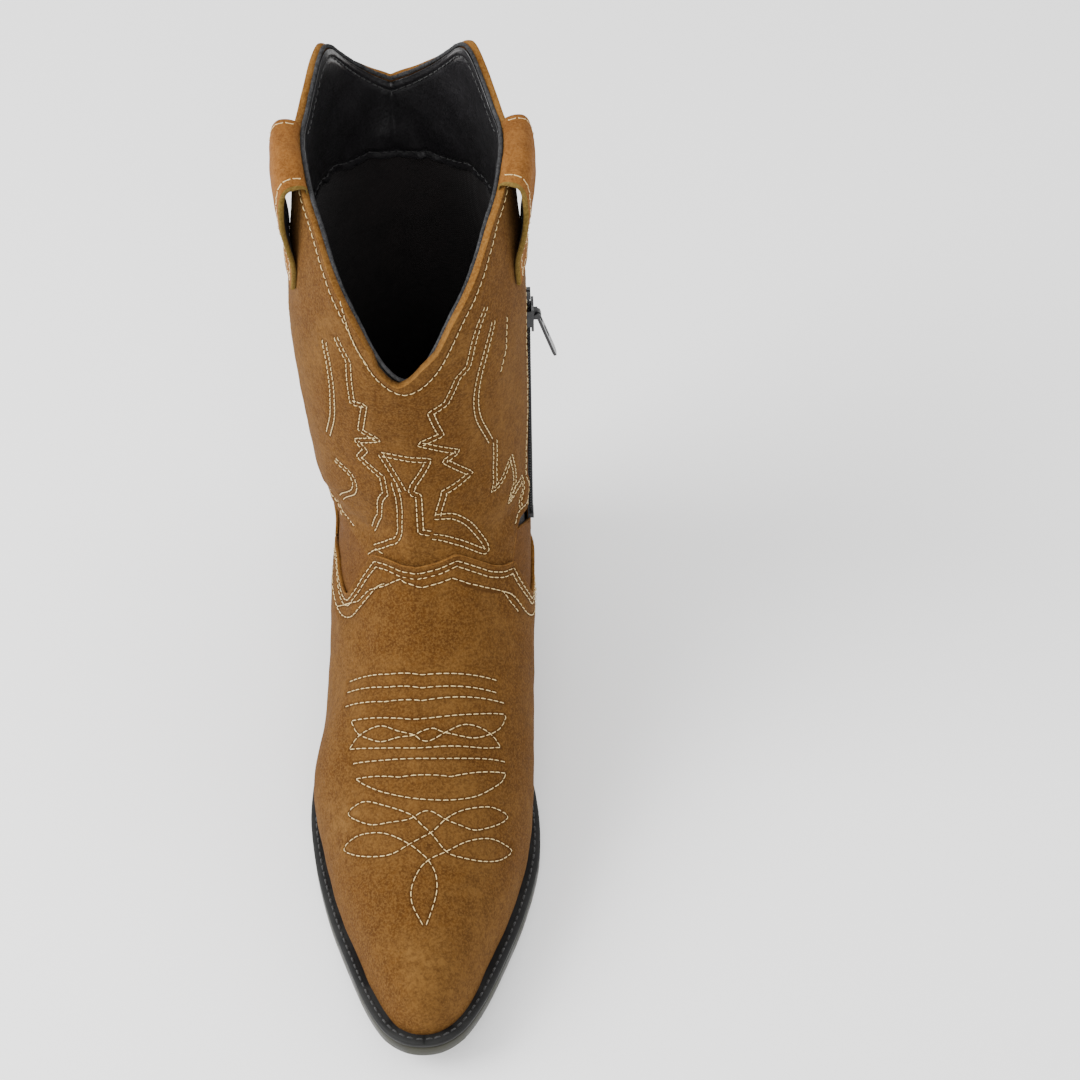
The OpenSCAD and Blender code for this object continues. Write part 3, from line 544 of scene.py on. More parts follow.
def suede(name, base, light, dark, spots=(), worn=0.14):
    g = Graph(name)
    nap = g.noise(0.9, 4, 0.75)
    nap_wide = g.noise(2.4, 4, 0.65, 0.4)
    mottle = g.noise(9, 4, 0.6, 0.6)
    cloud = g.noise(38, 3, 0.55, 0.8)
    streak = g.noise(7, 3, 0.6, 0.3, g.scaled((1, 1, 0.28)))
    color = g.mix(g.ramp(cloud, 0.42, 0.7, 0, 0.5), base, light)
    color = g.mix(g.ramp(streak, 0.5, 0.74, 0, 0.3), color, light)
    color = g.mix(g.ramp(mottle, 0.56, 0.34, 0, 0.4), color, dark)
    for centre, radius, amount in spots:
        broken = g.ramp(g.noise(6, 4, 0.65, 0.7), 0.36, 0.62, 0, abs(amount))
        patch = g.math("MULTIPLY", g.spot(centre, radius), broken)
        color = g.mix(patch, color, light if amount > 0 else dark)
    color = g.mix(g.ramp(nap_wide, 0.36, 0.64, 0.55, 0), color, dark)
    color = g.mix(g.ramp(nap, 0.42, 0.62, 0, 0.6), color, light)
    # darker where the 'sunk' attribute marks the stitch grooves: painted shade in the grooves, together with
    # some dirt along the stitching
    color = g.mix(g.ramp(g.attribute("sunk"), 0.1, 0.8, 0, 0.75), color, dark)
    height = g.math("ADD", nap, g.math("MULTIPLY", nap_wide, 0.8))
    g.set(Base_Color=color, Roughness=0.95, Specular_IOR_Level=0.12, Sheen_Weight=worn,
          Sheen_Roughness=0.55, Sheen_Tint=light, Normal=g.bump(height, 0.35, 0.75))
    return g.mat


def glossy_leather(name, base, grain_mm, rough, coat):
    g = Graph(name)
    grain = g.cells(grain_mm)
    fine = g.noise(0.5, 3, 0.6)
    wrinkle = g.noise(7, 3, 0.5, 1.2)
    color = g.mix(g.ramp(wrinkle, 0.4, 0.7, 0, 0.5), base, tuple(c * 1.8 for c in base))
    height = g.math("ADD", g.math("MULTIPLY", grain, 0.8), g.math("MULTIPLY", fine, 0.3))
    height = g.math("ADD", height, g.math("MULTIPLY", wrinkle, 2.2))
    g.set(Base_Color=color, Roughness=g.ramp(fine, 0.3, 0.7, rough * 0.85, rough * 1.25),
          Coat_Weight=coat, Coat_Roughness=0.16, Normal=g.bump(height, 0.16, 0.7))
    return g.mat


def rubber(name, base, light, rough=0.6, grain=0.8):
    g = Graph(name)
    fine = g.noise(grain, 4, 0.65)
    wide = g.noise(14, 3, 0.6, 0.4)
    color = g.mix(g.ramp(wide, 0.4, 0.65), base, light)
    color = g.mix(g.ramp(fine, 0.55, 0.75, 0, 0.5), color, light)
    g.set(Base_Color=color, Roughness=g.ramp(wide, 0.35, 0.65, rough * 0.85, min(rough * 1.15, 1)),
          Specular_IOR_Level=0.22,
          Normal=g.bump(fine, 0.12, 0.6))
    return g.mat


def cloth(name, base, light, pitch_mm):
    """Plain weave: two crossing sets of threads."""
    g = Graph(name)
    split = g.add("ShaderNodeSeparateXYZ")
    g.link(g.where, split.inputs[0])
    around = g.math("ADD", split.outputs[0], g.math("MULTIPLY", split.outputs[1], 0.7))
    turn = 2 * math.pi / (pitch_mm * MM)
    a = g.math("SINE", g.math("MULTIPLY", around, turn))
    b = g.math("SINE", g.math("MULTIPLY", split.outputs[2], turn))
    weave = g.math("MULTIPLY", a, b)
    fluff = g.noise(0.6, 4, 0.7)
    color = g.mix(g.ramp(weave, -0.8, 0.8), base, light)
    color = g.mix(g.ramp(g.noise(11, 3, 0.6), 0.4, 0.65, 0, 0.5), color, tuple(c * 0.6 for c in base))
    g.set(Base_Color=color, Roughness=0.92, Specular_IOR_Level=0.25, Sheen_Weight=0.05, Sheen_Roughness=0.5,
          Normal=g.bump(g.math("ADD", weave, fluff), 0.12, 0.7))
    return g.mat


def metal(name, base, rough, metallic=1.0, coat=0.0):
    g = Graph(name)
    smear = g.noise(1.6, 4, 0.7, 0.6)
    scratch = g.noise(2.2, 3, 0.6, 0, g.scaled((1, 1, 0.08)))
    color = g.mix(g.ramp(smear, 0.4, 0.7, 0, 0.5), base, tuple(min(c * 1.6, 1) for c in base))
    g.set(Base_Color=color, Metallic=metallic, Roughness=g.ramp(smear, 0.3, 0.7, rough * 0.8, rough * 1.3),
          Coat_Weight=coat, Normal=g.bump(scratch, 0.02, 0.5))
    return g.mat


def board(name, base, dark, speck_mm=1.2):
    g = Graph(name)
    speck = g.noise(speck_mm, 4, 0.7)
    wide = g.noise(12, 3, 0.6)
    color = g.mix(g.ramp(speck, 0.42, 0.64, 0, 0.7), base, dark)
    color = g.mix(g.ramp(wide, 0.4, 0.7, 0, 0.4), color, dark)
    g.set(Base_Color=color, Roughness=0.85, Normal=g.bump(speck, 0.12, 0.6))
    return g.mat


def thread(name, base, dark):
    g = Graph(name)
    twist = g.noise(0.5, 3, 0.6, 0.2)
    grime = g.noise(6, 3, 0.6)
    color = g.mix(g.ramp(twist, 0.38, 0.68, 0, 0.45), base, dark)
    color = g.mix(g.ramp(grime, 0.45, 0.75, 0, 0.4), color, dark)
    g.set(Base_Color=color, Roughness=0.7, Sheen_Weight=0.2, Normal=g.bump(twist, 0.1, 0.6))
    return g.mat


TAN = (0.07, 0.026, 0.003)
TAN_LIGHT = (0.145, 0.071, 0.018)
TAN_DARK = (0.04, 0.014, 0.0017)
SUEDE = suede("suede", TAN, TAN_LIGHT, TAN_DARK,
              spots=[((-30, 10, 215), 30, 0.8), ((-36, -60, 45), 26, 0.8), ((-16, 5, 185), 22, 0.5),
                     ((20, -30, 78), 20, 0.45), ((-4, -118, 38), 22, 0.75),
                     ((-2, -74, 56), 7, -0.9)])
# a darker copy of the same tan suede for the back panel: painted shade on the panel that sits behind and
# below the front panel
SUEDE_SHADED = suede("suede_dark", (0.07, 0.026, 0.0038), (0.12, 0.055, 0.014), (0.04, 0.014, 0.0022))
STRAP = suede("strap_suede", (0.15, 0.054, 0.0085), (0.22, 0.096, 0.024), (0.085, 0.028, 0.004))
EDGE = suede("cut_edge", (0.15, 0.062, 0.011), (0.22, 0.11, 0.028), (0.08, 0.03, 0.005), worn=0.15)
STRAP_EDGE = suede("strap_edge", (0.11, 0.068, 0.013), (0.17, 0.11, 0.03), (0.06, 0.036, 0.007), worn=0.15)
FLESH = suede("flesh_side", (0.1, 0.05, 0.02), (0.16, 0.09, 0.045), (0.06, 0.025, 0.01), worn=0.15)
BLACK_BACK = suede("strap_backing", (0.022, 0.02, 0.02), (0.05, 0.047, 0.045), (0.01, 0.01, 0.01), worn=0.2)
FACING = glossy_leather("gloss_facing", (0.008, 0.0075, 0.0082), 1.3, 0.38, 0.3)
PIPING = suede("piping", (0.02, 0.02, 0.021), (0.06, 0.06, 0.062), (0.008, 0.008, 0.008), worn=0.3)
LINING = cloth("lining", (0.005, 0.0036, 0.0036), (0.011, 0.008, 0.0078), 0.9)
INSOCK = rubber("insock", (0.01, 0.009, 0.008), (0.022, 0.019, 0.017), 0.6, 0.6)
WELT = rubber("welt", (0.003, 0.003, 0.003), (0.011, 0.011, 0.0105), 0.6, 0.5)
# the outsole edge is black; its olive-grey colour here is a painted reflection of the light along the edge
SOLE_EDGE = rubber("outsole_edge", (0.014, 0.0136, 0.009), (0.027, 0.0262, 0.0165), 0.45, 0.5)
TREAD = rubber("outsole_bottom", (0.018, 0.018, 0.018), (0.05, 0.05, 0.048), 0.8, 0.9)
HEEL = rubber("heel_stack", (0.009, 0.008, 0.007), (0.018, 0.016, 0.0135), 0.42, 0.4)
TOP_PIECE = rubber("top_piece", (0.016, 0.016, 0.016), (0.04, 0.04, 0.04), 0.75, 0.7)
STIFF = board("stiffener", (0.62, 0.58, 0.47), (0.45, 0.4, 0.3), 0.9)
BOARD = board("board", (0.36, 0.24, 0.13), (0.22, 0.14, 0.07))
FILLER = board("filler", (0.32, 0.18, 0.08), (0.1, 0.05, 0.02), 2.2)
STEEL = metal("shank_steel", (0.5, 0.5, 0.52), 0.35)
ZIP_METAL = metal("zip_metal", (0.008, 0.008, 0.009), 0.35, 0.35, 0.15)
TAPE = cloth("zip_tape", (0.012, 0.012, 0.013), (0.035, 0.035, 0.037), 0.7)
TEETH = rubber("zip_teeth", (0.012, 0.012, 0.013), (0.03, 0.03, 0.032), 0.3, 0.4)
CREAM = thread("cream_thread", (0.62, 0.46, 0.2), (0.38, 0.25, 0.09))
DARK_THREAD = thread("dark_thread", (0.006, 0.006, 0.006), (0.014, 0.014, 0.013))

# CAD pieces that keep their own shape: hidden layers and small metal parts
KEPT = {STIFF: ["toe_puff", "vamp_backer", "heel_stiffener"],
        LINING: ["vamp_lining", "heel_grip", "zip_guard"],
        BOARD: ["tuck_board", "insole_board"], FILLER: ["forepart_filler"], INSOCK: ["insock"],
        STEEL: ["shank", "shank_rivets", "heel_screw"], BLACK_BACK: ["zip_base_patch"],
        ZIP_METAL: ["zip_bottom_stop", "zip_top_stops", "zip_slider", "zip_puller"]}
for finish_material, kept_nodes in KEPT.items():
    for kept in kept_nodes:
        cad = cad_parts[kept]
        cad.data.materials.clear()
        cad.data.materials.append(finish_material)
ROUNDED = {"zip_slider": 0.18, "zip_puller": 0.16, "zip_bottom_stop": 0.3, "zip_top_stops": 0.3}
for kept, width in ROUNDED.items():
    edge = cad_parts[kept].modifiers.new("rounding", "BEVEL")
    edge.width = width * MM
    edge.segments = 3
    edge.limit_method = "ANGLE"
    edge.angle_limit = math.radians(35)
    edge.harden_normals = True

# ---------------------------------------------------------------- stitching, as (v, t) places
VAMP_ROWS = [
    [(-.47, 7.95), (-.2, 7.68), (.01, 7.57), (.33, 7.72)],
    [(-.47, 7.75), (-.2, 7.46), (.01, 7.35), (.34, 7.52)],
    [(-.46, 7.5), (-.2, 7.22), (.01, 7.14), (.39, 7.42)],
    [(-.39, 7.15), (-.13, 6.9), (.01, 6.85), (.21, 7), (.4, 7.25)],
    [(.4, 7.25), (.41, 7.2), (.39, 7), (.33, 6.8), (.24, 6.65), (.11, 6.65), (.05, 6.7), (-.04, 6.6),
     (-.13, 6.6), (-.22, 6.6), (-.3, 6.75), (-.35, 6.9), (-.39, 7.15)],
    [(-.4, 6.7), (-.36, 6.8), (-.31, 6.85), (-.22, 6.85), (-.13, 6.7), (-.04, 6.6), (.03, 6.5), (.11, 6.65),
     (.18, 6.8), (.23, 6.85), (.3, 6.85), (.36, 6.8), (.41, 6.7)],
    [(.41, 6.7), (.3, 6.55), (.13, 6.45), (-.03, 6.4), (-.22, 6.5), (-.4, 6.7)],
    [(-.39, 6.45), (-.2, 6.3), (.01, 6.24), (.2, 6.3), (.45, 6.52)],
    [(-.38, 6.2), (-.13, 6), (.15, 6), (.46, 6.35)],
    [(.46, 6.35), (.43, 6.15), (.32, 5.85), (.2, 5.7), (.06, 5.65), (-.09, 5.7), (-.23, 5.85), (-.33, 6.05),
     (-.38, 6.2)]]
TOE_STRANDS = [
    [(-.06, 5.45), (-.14, 5.55), (-.22, 5.65), (-.33, 5.8), (-.4, 5.82), (-.455, 5.78), (-.425, 5.65),
     (-.31, 5.45), (-.185, 5.4), (-.075, 5.4), (.035, 5.5), (.13, 5.4), (.22, 5.35), (.32, 5.35),
     (.455, 5.55), (.52, 5.75), (.42, 5.75), (.35, 5.7), (.215, 5.55), (.13, 5.4), (.05, 5.2),
     (-.08, 5.05), (-.2, 4.95),
     (-.325, 5), (-.455, 5.15), (-.545, 5.35), (-.445, 5.4), (-.33, 5.35), (-.215, 5.25), (-.08, 5.05),
     (0, 4.9), (.04, 4.8), (.09, 4.6), (.105, 4.35), (.08, 4.05), (.035, 3.75)],
    [(-.06, 5.45), (.05, 5.2), (.145, 4.95), (.245, 4.9), (.39, 4.95), (.52, 5.1), (.615, 5.35), (.525, 5.35),
     (.405, 5.3), (.265, 5.15), (.145, 4.95), (.04, 4.8), (-.035, 4.6), (-.08, 4.35), (-.07, 4.1),
     (.01, 3.75)]]
THROAT_ROW = [(-.56, 9.65), (-.465, 9.55), (-.37, 9.45), (-.3, 9.65), (-.21, 9.65), (-.115, 9.8),
              (-.085, 9.65), (.015, 9.45), (.065, 9.6), (.11, 9.8), (.17, 9.65), (.235, 9.6), (.32, 9.6),
              (.36, 9.4), (.415, 9.25)]
FLAMES = [
    [(.235, 21.45), (.205, 21.15), (.19, 20.9), (.165, 20.35), (.135, 20.15), (.1, 19.5), (.06, 19.25),
     (.08, 18.35), (.025, 17.95), (.115, 17.45), (.08, 17), (.145, 16.05), (.07, 14.95), (.065, 12.8)],
    [(-.095, 17.4), (.04, 17.1), (-.01, 15.1), (.01, 14.7), (.015, 11.85), (.045, 11.7)],
    [(-.095, 17.4), (-.04, 15.05)],
    [(.055, 12.8), (.12, 12.7), (.195, 11.8), (.24, 10.8), (.14, 11.15), (.05, 11.5)],
    [(-.195, 21), (-.155, 20.55), (-.15, 19.45), (-.115, 19.45), (-.14, 18.45), (-.095, 18.1), (-.16, 17.9),
     (-.14, 17.5), (-.165, 17.1), (-.105, 16), (-.105, 14.85), (-.215, 12.7), (-.31, 11.8)],
    [(-.07, 15.65), (-.07, 14.25), (-.135, 11.6), (-.195, 11.2), (-.28, 11)],
    [(-.235, 20.75), (-.215, 19.85), (-.225, 18.75), (-.26, 17.8)],
    [(-.255, 16.7), (-.205, 15.75), (-.225, 14.65), (-.355, 13.6)],
    [(.255, 21.05), (.21, 20.3), (.185, 19.6), (.185, 18.7), (.215, 17.55)],
    [(.23, 17.5), (.21, 14.65), (.29, 16.4), (.325, 13.15), (.345, 14.95), (.44, 12.45)]]
CURVED = [FLAMES[5], FLAMES[6], FLAMES[7], FLAMES[8], FLAMES[3]]
V_ROWS = [[(-.18, 21.85), (-.14, 21.1), (-.095, 20.6)], [(.31, 20.85), (.295, 20.2), (.265, 19.75)]]


def body_form(points):
    """Slow unevenness of worn leather, in millimetres, shared by all layers of the upper."""
    return 0.35 * waves(points, 46, 3) + 0.14 * waves(points, 15, 5)


FOLDS = creases([
    ([(-.52, 12.9), (-.35, 11.9), (-.15, 11.6)], 0.9, 4), ([(.1, 11.5), (.3, 11.9), (.42, 12.8)], 0.8, 4),
    ([(-.5, 14.3), (-.3, 13.2), (-.1, 13)], 0.6, 5), ([(.12, 13.3), (.28, 13.9), (.36, 14.6)], 0.5, 4),
    ([(-.6, 10.6), (-.45, 9.2), (-.35, 8.6)], 0.5, 4), ([(-.98, 18.6), (-.8, 17.2), (-.65, 17)], 0.5, 5),
    ([(.95, 18.8), (.8, 17.4), (.62, 17)], 0.5, 5)])


def upper_shape(sewing, seam=0.0):
    """How a sewn panel departs from the boot's surface; seam is the depth of the back seam."""
    tree = sewing.tree()

    def shape(base, t, v):
        marks = grooves(tree, base)
        out = body_form(base) + FOLDS(base) - seam * np.exp(-((v - 1) * 90) ** 2)
        # the second value marks the stitch grooves, where the suede colour is darkened as painted shade and
        # dirt
        return out + marks, np.clip(-marks / GROOVE_DEPTH, 0, 1)
    return shape


def settle(sewing):
    """Moves all stitches of a panel with the leather's slow shape."""
    pts = np.array(sewing.pts)
    amount = body_form(pts) + FOLDS(pts)
    near = tree_of(sewing.line)
    ups = np.array(sewing.ups)
    found = np.array([near.find(p)[1] for p in pts])
    sewing.pts = list(pts + ups[found] * amount[:, None])


# ---------------------------------------------------------------- upper panels
def grid(cols, rows):
    a = np.linspace(0, 1, cols)
    h = np.linspace(0, 1, rows)
    return np.meshgrid(a, h)


def near_edge(a, width):
    """1 at an edge, falling to 0 at a width inside it."""
    return np.maximum(0, 1 - a / width)


def blend_to(a, b, f):
    return a + (b - a) * f


def tv(t, v):
    return np.stack([t, v], axis=-1)


def vt(v, t):
    return np.stack([v, t], axis=-1)


def finish_panel(sewing, node, stitches):
    """Puts a sewn panel in place of its CAD node and makes its stitches."""
    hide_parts(node)
    settle(sewing)
    sewing.build(stitches, CREAM)


OUT = 1.4
LEATHER = [SUEDE, EDGE, FLESH]
# the back panel's set, with the suede darkened as painted shade
LEATHER_SHADED = [SUEDE_SHADED, EDGE, FLESH]


def make_vamp():
    sew = Sewing(OUT)
    edge = np.linspace(-0.97, 0.97, 260)
    for shift in (-2.4, -4.6):
        sew.row(vt(edge, vamp_top(edge)), shift)
    sew.row(vt(edge, softened(edge, VAMP_TOP, 0.05) - 0.02)[14:-14], -10.5)
    sew.row(THROAT_ROW)
    for path in VAMP_ROWS:
        sew.row(path, smooth=len(path) > 4)
    for path in TOE_STRANDS:
        sew.row(path, smooth=True)
    a, h = grid(330, 320)
    v = (2 * a - 1) * 0.99
    # the first row stays just off the toe tip
    t = vamp_top(v) * (0.002 + 0.998 * h)
    piece = panel("vamp_panel", tv(t, v), 0.1, OUT, LEATHER, shape=upper_shape(sew))
    finish_panel(sew, "vamp", "vamp_stitches")


def make_counter():
    sew = Sewing(OUT)
    b = np.linspace(-1, 1, 300)
    ct = softened(np.abs(b), COUNTER_T, 0.03)
    cv = lookup(np.abs(b), COUNTER_V)
    cv = np.where(b < 0, cv, 2 - cv)
    for shift in (-2.4, -4.6):
        sew.row(vt(cv, ct), shift)
    a, h = grid(300, 150)
    side = 1 - 2 * a
    m = np.abs(side)
    low = 15 - 4.98 * m
    t = blend_to(low, softened(m, COUNTER_T, 0.03), h)
    v = blend_to(np.where(m > 0.02, 0.99, 1), lookup(m, COUNTER_V), h)
    v = np.where(side < 0, -v, v)
    piece = panel("heel_counter_panel", tv(t, v), 0.1, OUT, LEATHER, shape=upper_shape(sew))
    finish_panel(sew, "heel_counter", "counter_stitches")


def top_thickness(t, v):
    """The panel's edge is turned in along the topline, so it is thicker there."""
    return -1.3 - 1.2 * np.clip((t - topline(v) + 0.45) / 0.25, 0, 1)


def make_shaft_front():
    sew = Sewing(0)
    for path in FLAMES:
        for shift in (-1.1, 1.1):
            sew.row(path, shift, pitch=2.3, length=1.75, smooth=path in CURVED)
    for path in V_ROWS:
        sew.row(path)
    v = np.linspace(-0.49, 0.5, 240)
    sew.row(vt(v, topline(v)), -3.8)
    sew.row([(-.325, 10.75), (-.265, 10.95), (-.22, 10.75)])
    for edge, sign in ((FRONT_OUTER, -1), (FRONT_INNER, 1)):
        t = np.linspace(11.6, 22.7 if sign < 0 else 22.6, 160)
        sew.row(vt(sign * lookup(t, edge), t), 2.2 * sign)
    a, h = grid(250, 270)
    low = tuck(blend_to(-0.33, 0.38, a))
    t = blend_to(low, topline(blend_to(-0.51, 0.525, a)), h)
    v = blend_to(-lookup(t, FRONT_OUTER), lookup(t, FRONT_INNER), a)
    piece = panel("shaft_front_panel", tv(t, v), top_thickness(t, v), 0, LEATHER,
                  shape=upper_shape(sew))
    finish_panel(sew, "shaft_front", "shaft_front_stitches")


def rear_v(t, a):
    inner = near_edge(a, 0.25) * (lookup(t, REAR_INNER) - 0.53)
    outer = near_edge(1 - a, 0.25) * (0.508 - lookup(t, FRONT_OUTER))
    return blend_to(0.53, 1.49, a) + inner + outer


def make_shaft_back():
    sew = Sewing(0)
    for s in (-1, 1):
        ends = (0.545, 1) if s > 0 else (1, 1.475)
        v = np.linspace(*ends, 200)
        sew.row(vt(v, topline(v)), -3.8)
    for shift in (-1.6, 1.6):
        t = np.linspace(18.6, 22.4, 90)
        sew.row(vt(np.full(90, 1.0), t), shift)
    t = np.linspace(12.1, 22.6, 160)
    sew.row(vt(lookup(t, REAR_INNER), t), -2.2)
    t = np.linspace(12.2, 22.6, 160)
    sew.row(vt(2 - lookup(t, FRONT_OUTER), t), 2.2)
    a, h = grid(300, 280)
    low = tuck(rear_v(9.6, a))
    t = blend_to(low, topline(rear_v(23.2, a)), h)
    v = rear_v(t, a)
    # the back panel is the same suede as the rest, darkened here as painted shade
    piece = panel("shaft_back_panel", tv(t, v), top_thickness(t, v), 0, LEATHER_SHADED,
                  shape=upper_shape(sew, 0.5))
    finish_panel(sew, "shaft_back", "shaft_back_stitches")


SLIT_FRONT = [(9, 0.56), (11.3, 0.565), (12, 0.53), (12.5, 0.512), (13, 0.482), (14, 0.426), (15, 0.383),
              (16, 0.385), (17, 0.397), (18, 0.418), (19, 0.442), (20, 0.465), (20.7, 0.482), (21, 0.518),
              (24, 0.528)]
SLIT_REAR = [(9, 0.572), (11.3, 0.578), (12, 0.636), (12.5, 0.606), (13, 0.576), (14, 0.51), (15, 0.46),
             (16, 0.461), (17, 0.472), (18, 0.494), (19, 0.518), (20, 0.54), (20.7, 0.555), (21, 0.522),
             (24, 0.534)]
LINING_LOW = [(0, 9.47), (0.69, 9.47), (0.735, 11.3), (0.748, 11.4), (0.772, 12.1), (0.812, 13.05),
              (0.872, 14.4), (0.932, 15.95), (0.976, 17.25), (1, 17.8)]


# millimetres up the shaft for a step of 1 in t, and how far in t the facing stays below the topline
STEP_MM = 27
FACING_DROP = 0.05


def make_inside():
    def lining_v(t, a):
        rear = near_edge(a, 0.15) * (lookup(t, SLIT_REAR) - 0.576)
        front = near_edge(1 - a, 0.15) * (lookup(t, SLIT_FRONT) - 0.563)
        return blend_to(0.576, 2.563, a) + rear + front

    a, h = grid(260, 90)
    low = lookup(fold(blend_to(0.576, 2.563, a)), LINING_LOW)
    t = blend_to(low, topline(lining_v(23.2, a)) - 0.13, h)
    soft = lambda base, t, v: (0.25 * waves(base, 30, 11), np.zeros(t.shape))
    piece = panel("shaft_lining_cloth", tv(t, lining_v(t, a)), -3.5, -2.6, [LINING], shape=soft,
                  bevel=0.1)
    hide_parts("shaft_lining")

    # the facing is stitched along its lower edge, where it puckers, and just below its top edge
    a, h = grid(520, 70)
    v = blend_to(0.53, 2.524, a)
    high = topline(v) - FACING_DROP
    deep = lookup(fold(v), FACING_DEPTH)
    t = high - deep * (1 - h)
    base, n = place(t, v), normal(t, v)
    from_low = (t - high + deep) * STEP_MM
    from_top = (high - t) * STEP_MM
    pucker = 0.45 * np.exp(-from_low / 9) * waves(base * (1, 1, 0.35), 7, 2)
    dent = 0.5 * waves(base, 24, 8) * np.clip(from_low / 10, 0, 1) * np.clip(from_top / 6, 0, 1)
    sunk = -0.55 * np.exp(-((from_low - 2.5) / 1.1) ** 2) - 0.45 * np.exp(-((from_top - 3.2) / 1.1) ** 2)
    seam = -0.5 * np.exp(-((v - 1) * 75) ** 2)
    inner_face = -5.0 - np.clip(pucker + dent + sunk + seam, -0.9, 0.6)
    # the top edge is turned over toward the piping
    inner_face = inner_face + 0.7 * np.exp(-(from_top / 1.2) ** 2)
    piece = panel("facing_leather", tv(t, v), inner_face, -3.8, [FACING], bevel=0.3)
    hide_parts("topline_facing")
    made = ([], [])
    for start, end in ((0.56, 1.0), (1.0, 1.44)):
        v = np.linspace(start, end, 260)
        for below in (3.2 / STEP_MM, lookup(fold(v), FACING_DEPTH) - 2.5 / STEP_MM):
            t = topline(v) - FACING_DROP - below
            pos, n = place(t, v), normal(t, v)
            gather(*made, stitch_row(pos - n * 4.75, -n, 3.0, 2.2, 0.5))
    one_material("facing_stitches", made, DARK_THREAD)

    v = np.linspace(-1, 1, 480, endpoint=False)
    t = topline(v)
    o = normal(t, v)
    fuzz = 0.74 + 0.07 * waves(place(t, v), 3, 4)
    cord = tube(place(t, v) - o * 3.25, fuzz, 10, True)
    one_material("piping_cord", cord, PIPING, "topline_piping")


# ---------------------------------------------------------------- pull straps
STRAP_PATH = [(-0.38, -2.05, 0.25), (-0.05, -2.05, 0.25), (0.06, -2, 0.3), (0.125, -1, 0.45), (0.16, 1, 0.8),
              (0.165, 3.6, 1), (0.14, 6.6, 1), (0.06, 8.8, 1), (-0.06, 9.8, 1), (-0.24, 10, 1),
              (-0.5, 9.6, 1), (-0.78, 8.2, 1), (-1.08, 5.8, 1), (-1.35, 3.5, 1), (-1.56, 2.4, 1),
              (-1.74, 2.2, 1), (-1.88, 2.2, 1)]
STRAP_THICK = 2.0
STRAP_LOOP = 6.0
T_RISE = 25


def make_strap(side, name, node):
    path = curve(STRAP_PATH, True, 7)
    rows, cols = len(path), 26
    stretch = (STRAP_LOOP + STRAP_THICK) / 10
    q, o, thick = path[:, 0], path[:, 1], path[:, 2]
    o = np.where(o > 2.2, 2.2 + (o - 2.2) * stretch, o)
    before, after = np.maximum(np.arange(rows) - 1, 0), np.minimum(np.arange(rows) + 1, rows - 1)
    inward = unit(np.stack([path[before, 1] - path[after, 1],
                            T_RISE * (path[after, 0] - path[before, 0])], axis=-1))
    # the strap narrows a little from the fold to where it is sewn down
    a = np.linspace(0, 1, cols)
    centre, half = 0.45, 0.09

    def layer(depth, squeeze=1.0):
        narrow = np.clip(1 - 0.1 * np.clip((-q - 0.6) / 1.2, 0, 1), 0, 1)[:, None]
        v = side * (centre + (2 * a[None] - 1) * half * narrow * squeeze)
        t = np.minimum(topline(v) + q[:, None] + depth * thick[:, None] * inward[:, None, 0] / T_RISE, LAST)
        off = o[:, None] + depth * thick[:, None] * inward[:, None, 1]
        return place(t, v) + normal(t, v) * off[..., None]

    top, under = layer(0, 0.97), layer(STRAP_THICK, 0.97)
    mid_a, mid_b = layer(STRAP_THICK * 0.25, 1.0), layer(STRAP_THICK * 0.75, 1.0)
    level = np.full((rows, 1), topline(side * 0.5))
    outward = normal(level, side * (centre + (2 * a[None] - 1) * half))
    top = top + 0.12 * waves(top, 9, 6)[..., None] * outward
    walls = [mid.reshape(-1, 3)[rim_of(rows, cols)] for mid in (mid_a, mid_b)]
    pts, faces, slots = sheet(top.reshape(-1, 3), under.reshape(-1, 3), walls, rows, cols)
    if side > 0:
        faces = faces[:, ::-1]
    piece = new_mesh(name, pts, faces, slots, [STRAP, STRAP_EDGE, BLACK_BACK], "boot")
    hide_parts(node)

    # a row of stitches along each edge, and one across the lower end
    made = ([], [])
    n_out = unit(-np.cross(np.gradient(top, axis=0), np.gradient(top, axis=1)) * side)
    length_rows = slice(24, rows - 3)
    for where in ((length_rows, 2), (length_rows, cols - 3), (rows - 6, slice(2, -2))):
        gather(*made, stitch_row(top[where], n_out[where], 3.4, 2.9, 0.6))
    one_material(name + "_stitches", made, CREAM)


# ---------------------------------------------------------------- sole and heel
SOLE_LINE = ([(-160, 25.4)] + [(p[1], max(p[2], 9)) for p in place(np.arange(61) / 5, np.ones(61))]
             + [(118, 45.6), (125, 46.1), (150, 46.4)])
REACH = [(-140, 6.1), (-30, 6.1), (10, 5), (45, 3), (70, 1.8), (140, 1.8)]
SOLE_THICK = 9.0
WELT_THICK = 3.0
TOP_PIECE_HIGH = 6.0
LIFT = 4.7
BREAST_T = 10.15
HEEL_FRONT = 64
HEEL_OUT = 1.6
TOP_PIECE_OUT = 1.4


def sole_height(y):
    return lookup(y, SOLE_LINE)


def reach(y):
    """How far the welt and outsole stand out from the upper."""
    return lookup(y, REACH)


def edge_point(t, side, d):
    """Points beside the upper's lower edge, moved out by d; straight ahead at the tip and at the heel."""
    p = place(t, side)
    g = place(t + 0.01, side) - place(np.maximum(t - 0.01, 0), side)
    g = unit(g[:, :2])
    tip = np.clip(1 - t[:, None] / 0.9, 0, 1) ** 2
    heel = np.clip((t[:, None] - 14.4) / 0.6, 0, 1) ** 2
    g = unit(g * (1 - tip - heel) + np.array([side, 0.0]) * (tip - heel))
    return np.stack([p[:, 0] + side * g[:, 1] * d, p[:, 1] - side * g[:, 0] * d], axis=-1)


def sole_point(t, side, d, z):
    p = edge_point(t, side, d)
    return np.column_stack([p, sole_height(p[:, 1]) + z])


def welt_point(t, side, d, z):
    return sole_point(t, side, reach(place(t, side)[:, 1]) + d, z)


